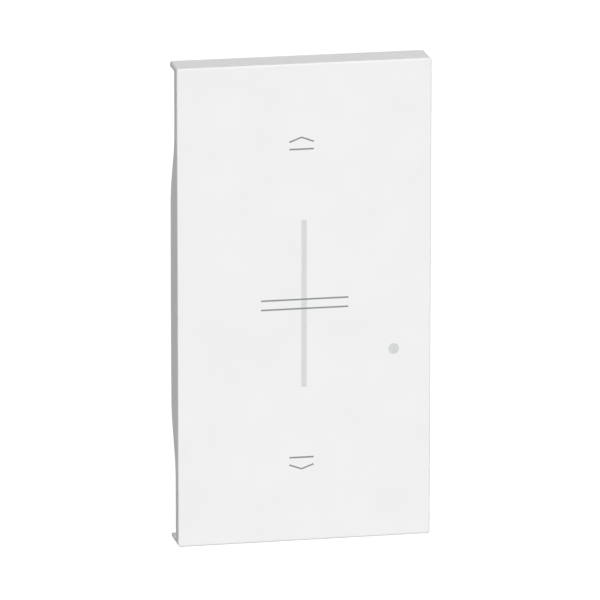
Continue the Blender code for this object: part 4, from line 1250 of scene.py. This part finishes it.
def make_push_switches():
    """Two push switches: each a dark case, a steel cover held by four pegs, four legs and a button."""
    covers = []
    pegs = []
    legs = []
    for end in ("upper", "lower"):
        low, high, middle = room(f"{end}_switch_body")
        seat = low.y + COVER_THICKNESS
        switch_case(end, low, high, middle, seat)
        depth = (low.y + PEG_RISE, seat)
        cover = new_piece("cover", rounded_plate((low.x, high.x), depth, (low.z, high.z), COVER_CORNER))
        place = (middle.x, seat + OVERRUN / 2, middle.z)
        hole = (COVER_HOLE, COVER_HOLE, 2 * OVERRUN)
        carve(cover, row_of_cones("hole", [place], *hole, "strap_steel", FORWARD))
        covers.append(settle(cover))
        for across in (-PEG_SPREAD, PEG_SPREAD):
            leg_x = middle.x + math.copysign(high.x - middle.x - SWITCH_LEG[0] / 2, across)
            for up in (-1, 1):
                pegs.append((middle.x + across, low.y + PEG_RISE, middle.z + up * PEG_SPREAD))
                legs.append((leg_x, board_front - SWITCH_LEG[1] / 2, middle.z + up * SWITCH_LEG_SPREAD))
        node = f"{end}_switch_button"
        button = dressed_copy(node, f"{end}_push_button", SWITCH_EASE)
        fit(button, "button_plastic", [node], f"{end}_button")
    peg = (PEG_RADIUS, PEG_RADIUS - PEG_RISE / 2, PEG_RISE)
    covers.append(row_of_cones("pegs", pegs, *peg, "strap_steel", FORWARD))
    fit(gathered("switch_covers", covers), "strap_steel")
    fit(row_of_bars("switch_legs", legs, SWITCH_LEG, "tin"), "tin")


def make_board_header():
    """Two plastic strips on one row of pins, which join the boards."""
    low, high, middle = room("board_header")
    strips = []
    for y in ((low.y, low.y + HEADER_STRIP), (low.y + HEADER_STRIP + HEADER_SPLIT, high.y)):
        strip = new_piece("strip", block((low.x, high.x), y, (low.z, high.z)))
        ease_edges(strip, SWITCH_EASE)
        strips.append(settle(strip))
    fit(gathered("header_strips", strips), "dark_plastic", ["board_header"])
    pin = (PIN_WIDTH, power_front - board_back, PIN_WIDTH)
    y = (power_front + board_back) / 2
    places = [(middle.x, y, middle.z + z) for z in spread(PIN_COUNT, PIN_PITCH)]
    fit(row_of_bars("header_pins", places, pin, "tin"), "tin")


def make_bulk_capacitor():
    """A can in a shrink sleeve, crimped near its foot, with a scored vent in its end."""
    low, high, middle = room("bulk_capacitor")
    radius = (high.x - low.x) / 2
    floor = high.y - CAN_RECESS
    bend = CAN_ROLL / 6
    profile = [
        (0, low.y),
        (radius - CAN_FOOT, low.y),
        (radius, low.y + CAN_FOOT),
        (radius, low.y + CAN_CRIMP_UP - CAN_CRIMP),
        (radius - CAN_CRIMP, low.y + CAN_CRIMP_UP),
        (radius, low.y + CAN_CRIMP_UP + CAN_CRIMP),
        (radius, high.y - CAN_ROLL / 2),
        (radius - bend, high.y - bend),
        (radius - CAN_ROLL / 2, high.y),
        (radius - CAN_ROLL, high.y - CAN_RECESS / 3),
        (radius - CAN_ROLL, floor),
        (0, floor),
    ]
    can = settle(new_piece("capacitor_can", turned(profile, middle, ROUND_SIDES)))
    fit(can, "sleeve", ["bulk_capacitor"])
    reach = radius - CAN_ROLL
    top = floor + CAN_RECESS / 2
    disc = [(0, floor), (reach, floor), (reach, top), (0, top)]
    vent = new_piece("capacitor_vent", turned(disc, middle, ROUND_SIDES))
    for x, z in ((VENT_LENGTH, VENT_WIDTH), (VENT_WIDTH, VENT_LENGTH)):
        size = (x, 2 * VENT_DEPTH, z)
        carve(vent, row_of_bars("score", [(middle.x, top, middle.z)], size, "aluminium"))
    fit(settle(vent), "aluminium")


def make_film_capacitor():
    """A moulded box on two feet, with rounded edges."""
    low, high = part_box("film_capacitor")
    case = new_piece("film_capacitor_case", block(*zip(low, high)))
    under = (low.z + FILM_FOOT_LENGTH, high.z - FILM_FOOT_LENGTH)
    sides = (low.x - OVERRUN, high.x + OVERRUN)
    carve(case, new_piece("gap", block(sides, (low.y - OVERRUN, low.y + FILM_FOOT), under)))
    ease_edges(case, FILM_EASE, FILM_EASE_STEPS)
    fit(settle(case), "film_case", ["film_capacitor"])


def make_ring_core():
    low, high, middle = room("choke_core")
    radius = (high.y - low.y) / 2
    reach = (high.x - low.x) / 2 - radius
    ring = []
    for i in range(CORE_STEPS + 1):
        turn = math.tau * i / CORE_STEPS
        ring.append((reach + radius * math.cos(turn), middle.y + radius * math.sin(turn)))
    core = settle(new_piece("ring_core", turned(ring, middle, ROUND_SIDES)))
    fit(core, "ferrite", ["choke_core"])


def make_fuse():
    """A round fuse on a collar, with a dished end."""
    low, high, middle = room("fuse")
    radius = (high.x - low.x) / 2
    barrel = radius - FUSE_STEP
    dish = barrel - FUSE_DISH
    bend = FUSE_ROUND / 4
    profile = [
        (0, low.y),
        (radius, low.y),
        (radius, low.y + FUSE_COLLAR),
        (barrel, low.y + FUSE_COLLAR + FUSE_STEP),
        (barrel, high.y - FUSE_ROUND),
        (barrel - bend, high.y - bend),
        (barrel - FUSE_ROUND, high.y),
        (dish, high.y),
        (dish - FUSE_STEP, high.y - FUSE_STEP),
        (0, high.y - FUSE_STEP),
    ]
    fuse = settle(new_piece("round_fuse", turned(profile, middle, ROUND_SIDES)))
    fit(fuse, "dark_plastic", ["fuse"])


def make_heat_sink():
    low, high, middle = room("heat_sink")
    sink = new_piece("grooved_heat_sink", joined_copy("heat_sink"))
    places = [(middle.x + x, middle.y, high.z) for x in spread(SINK_GROOVES, SINK_PITCH)]
    size = (SINK_GROOVE_WIDTH, 2 * (high.y - low.y), 2 * SINK_GROOVE_DEPTH)
    carve(sink, row_of_bars("sink_grooves", places, size, "aluminium"))
    ease_edges(sink, SINK_EASE)
    fit(settle(sink), "aluminium", ["heat_sink"])


def make_transistors():
    """Two moulded transistors, each with a round mould mark and three tinned legs."""
    legs = []
    mark = (TRANSISTOR_MARK, TRANSISTOR_MARK, 2 * DIMPLE_DEPTH)
    for side in ("left", "right"):
        node = f"transistor_{side}"
        low, high, middle = room(node)
        front = low.y + TRANSISTOR_LEG
        case = new_piece(f"{side}_transistor", block((low.x, high.x), (front, high.y), (low.z, high.z)))
        ease_edges(case, TRANSISTOR_EASE)
        place = (middle.x, (front + high.y) / 2, low.z - DIMPLE_DEPTH)
        carve(case, row_of_cones("mark", [place], *mark, "dark_plastic"))
        fit(settle(case), "dark_plastic", [node])
        for x in spread(TRANSISTOR_LEG_COUNT, TRANSISTOR_LEG_PITCH):
            legs.append((middle.x + x, (power_back + front + TRANSISTOR_EASE) / 2, middle.z))
    leg = (TRANSISTOR_LEG_WIDTH, front + TRANSISTOR_EASE - power_back, TRANSISTOR_LEG_THICKNESS)
    fit(row_of_bars("transistor_legs", legs, leg, "tin"), "tin")


# The stage


def make_camera():
    yaw, pitch = CAMERA_YAW, CAMERA_PITCH
    forward = Vector((math.sin(yaw) * math.cos(pitch), math.cos(yaw) * math.cos(pitch), -math.sin(pitch)))
    level = Vector((math.cos(yaw), -math.sin(yaw), 0))
    above = level.cross(forward)
    right = level * math.cos(CAMERA_ROLL) + above * math.sin(CAMERA_ROLL)
    up = above * math.cos(CAMERA_ROLL) - level * math.sin(CAMERA_ROLL)
    aim = Vector((AIM_ACROSS, key_low.y, AIM_UP))
    data = bpy.data.cameras.new("camera")
    data.lens = LENS
    data.sensor_width = SENSOR
    camera = bpy.data.objects.new("camera", data)
    turn = Matrix((right, up, -forward)).transposed().to_4x4()
    camera.matrix_world = Matrix.Translation(aim - forward * CAMERA_DISTANCE) @ turn
    bpy.context.scene.collection.objects.link(camera)
    bpy.context.scene.camera = camera


def make_light(name, direction, strength):
    data = bpy.data.lights.new(name, "SUN")
    data.energy = strength
    data.angle = LIGHT_SPREAD
    light = bpy.data.objects.new(name, data)
    light.matrix_world = Vector(direction).to_track_quat("Z", "Y").to_matrix().to_4x4()
    bpy.context.scene.collection.objects.link(light)
    return light


def seen_directly(tree):
    """1 on rays that show the background: from the camera, in gloss and through clear things."""
    path = add_node(tree, "ShaderNodeLightPath").outputs
    seen = path["Is Camera Ray"]
    for name in ("Is Glossy Ray", "Is Transmission Ray"):
        seen = calc(tree, "MAXIMUM", seen, path[name])
    return seen


def make_sky():
    world = bpy.data.worlds.new("soft_sky")
    world.use_nodes = True
    tree = world.node_tree
    tree.nodes.clear()
    direction = add_node(tree, "ShaderNodeTexCoord").outputs["Generated"]
    behind = add_node(tree, "ShaderNodeSeparateXYZ", {0: direction}).outputs["Y"]
    fade = {"Value": behind, "From Min": -SKY_FADE, "From Max": SKY_FADE}
    strength = out(tree, "ShaderNodeMapRange", fade | {"To Min": SKY_IN_FRONT, "To Max": SKY_BEHIND})
    soft = out(tree, "ShaderNodeBackground", {"Color": WHITE, "Strength": strength})
    white = out(tree, "ShaderNodeBackground", {"Color": WHITE, "Strength": 1.0})
    mixed = out(tree, "ShaderNodeMixShader", {0: seen_directly(tree), 1: soft, 2: white})
    add_node(tree, "ShaderNodeOutputWorld", {"Surface": mixed})
    bpy.context.scene.world = world


def make_floor():
    """A pale floor well below the part, lifted to white where it is seen, with its shadows kept."""
    material = bpy.data.materials.new("pale_floor")
    material.use_nodes = True
    tree = material.node_tree
    tree.nodes.clear()
    matt = out(tree, "ShaderNodeBsdfDiffuse", {"Color": (FLOOR_GREY, FLOOR_GREY, FLOOR_GREY, 1)})
    strength = calc(tree, "MULTIPLY", seen_directly(tree), FLOOR_LIFT)
    lift = out(tree, "ShaderNodeEmission", {"Color": WHITE, "Strength": strength})
    both = out(tree, "ShaderNodeAddShader", {0: matt, 1: lift})
    through = out(tree, "ShaderNodeBsdfTransparent")
    below = add_node(tree, "ShaderNodeNewGeometry").outputs["Backfacing"]
    shown = out(tree, "ShaderNodeMixShader", {0: below, 1: both, 2: through})
    add_node(tree, "ShaderNodeOutputMaterial", {"Surface": shown})
    bm = bmesh.new()
    bmesh.ops.create_grid(bm, x_segments=1, y_segments=1, size=FLOOR_HALF)
    bmesh.ops.translate(bm, vec=(0, 0, -FLOOR_DROP), verts=bm.verts)
    dress(new_piece("floor", bm), material)


bpy.context.scene.view_settings.view_transform = "Standard"
make_camera()
make_light("front_light", FRONT_LIGHT_FROM, FRONT_LIGHT_STRENGTH)
back_light = make_light("back_light", BACK_LIGHT_FROM, BACK_LIGHT_STRENGTH)
back_light.visible_glossy = False
make_sky()
make_floor()

finishes = {}
makers = {moulded_plastic: PLASTICS, drawn_metal: METALS, light_guide_plastic: LIGHT_GUIDES}
for make_finish, looks in makers.items():
    for name, look in looks.items():
        finishes[name] = make_finish(name, *look)
finishes["grey_ink"] = printing_ink("grey_ink", *GREY_INK)
finishes["board_lacquer"] = circuit_board("board_lacquer")

gusset_sizes = dict.fromkeys(("Thickness", "Reach", "Rise"), "Float")
leg_sizes = dict.fromkeys(("Reach", "Drop", "Width", "Thickness"), "Float")
stroke_sizes = dict.fromkeys(("Stroke Width", "Ink Thickness"), "Float")
wire_sizes = {"Wire Radius": "Float", "Sides": "Int"}
bar_row = row_tree("row_of_bars", {"Bar Size": "Vector"}, bar_shape)
cone_row = row_tree("row_of_cones", CONE_SIZES, cone_shape)
gusset_row = row_tree("row_of_gussets", gusset_sizes, gusset_shape)
leg_row = row_tree("row_of_legs", leg_sizes, leg_shape)
printed_stroke = swept_tree("printed_stroke", stroke_sizes, ink_section, OUT_OF_FACE)
round_wire = swept_tree("round_wire", wire_sizes, wire_section)
machine_screw = screw_tree()

make_white_key()
make_light_windows()
make_printed_marks()
make_wall_box_housing()
make_wound_pieces()
housing_screws = [f"housing_screw_{end}_{side}" for end in ("upper", "lower") for side in ("left", "right")]
terminal_screws = [f"terminal_screw_{i}" for i in TERMINALS]
make_screws("cross_head_screws", housing_screws, 1, 1, HOUSING_HEAD, HOUSING_SHANK, True)
make_screws("terminal_clamp_screws", terminal_screws, 2, -1, TERMINAL_HEAD, TERMINAL_SHANK, False)
make_lamps()
make_control_chip()
make_push_switches()
make_board_header()
make_bulk_capacitor()
make_fuse()
make_heat_sink()
make_transistors()
make_ring_core()
make_film_capacitor()
for side in ("left", "right"):
    pin = settle(new_piece(f"{side}_hinge_pin", joined_copy(f"hinge_pin_{side}")))
    fit(pin, "screw_steel", [f"hinge_pin_{side}"])

# Nodes whose own shape stays, with eased edges: node, piece, finish, slot, body, ease
copies = [
    ("rocker_cradle", "key_cradle", "grey_plastic", "grey_plastic", "rocker", PLASTIC_EASE),
    ("chassis", "hinge_chassis", "grey_plastic", "grey_plastic", "base", PLASTIC_EASE),
    ("mounting_strap", "wall_strap", "strap_steel", "steel", "base", METAL_EASE),
]
for i in TERMINALS:
    copies.append((f"terminal_cage_{i}", f"wire_clamp_{i}", "brass", "brass", "base", METAL_EASE))
for node, name, finish, slot, body, ease in copies:
    fit(dressed_copy(node, name, ease), finish, [node], body)

for node in ("control_board", "power_board"):
    dress(NODES[node], finishes["board_lacquer"])
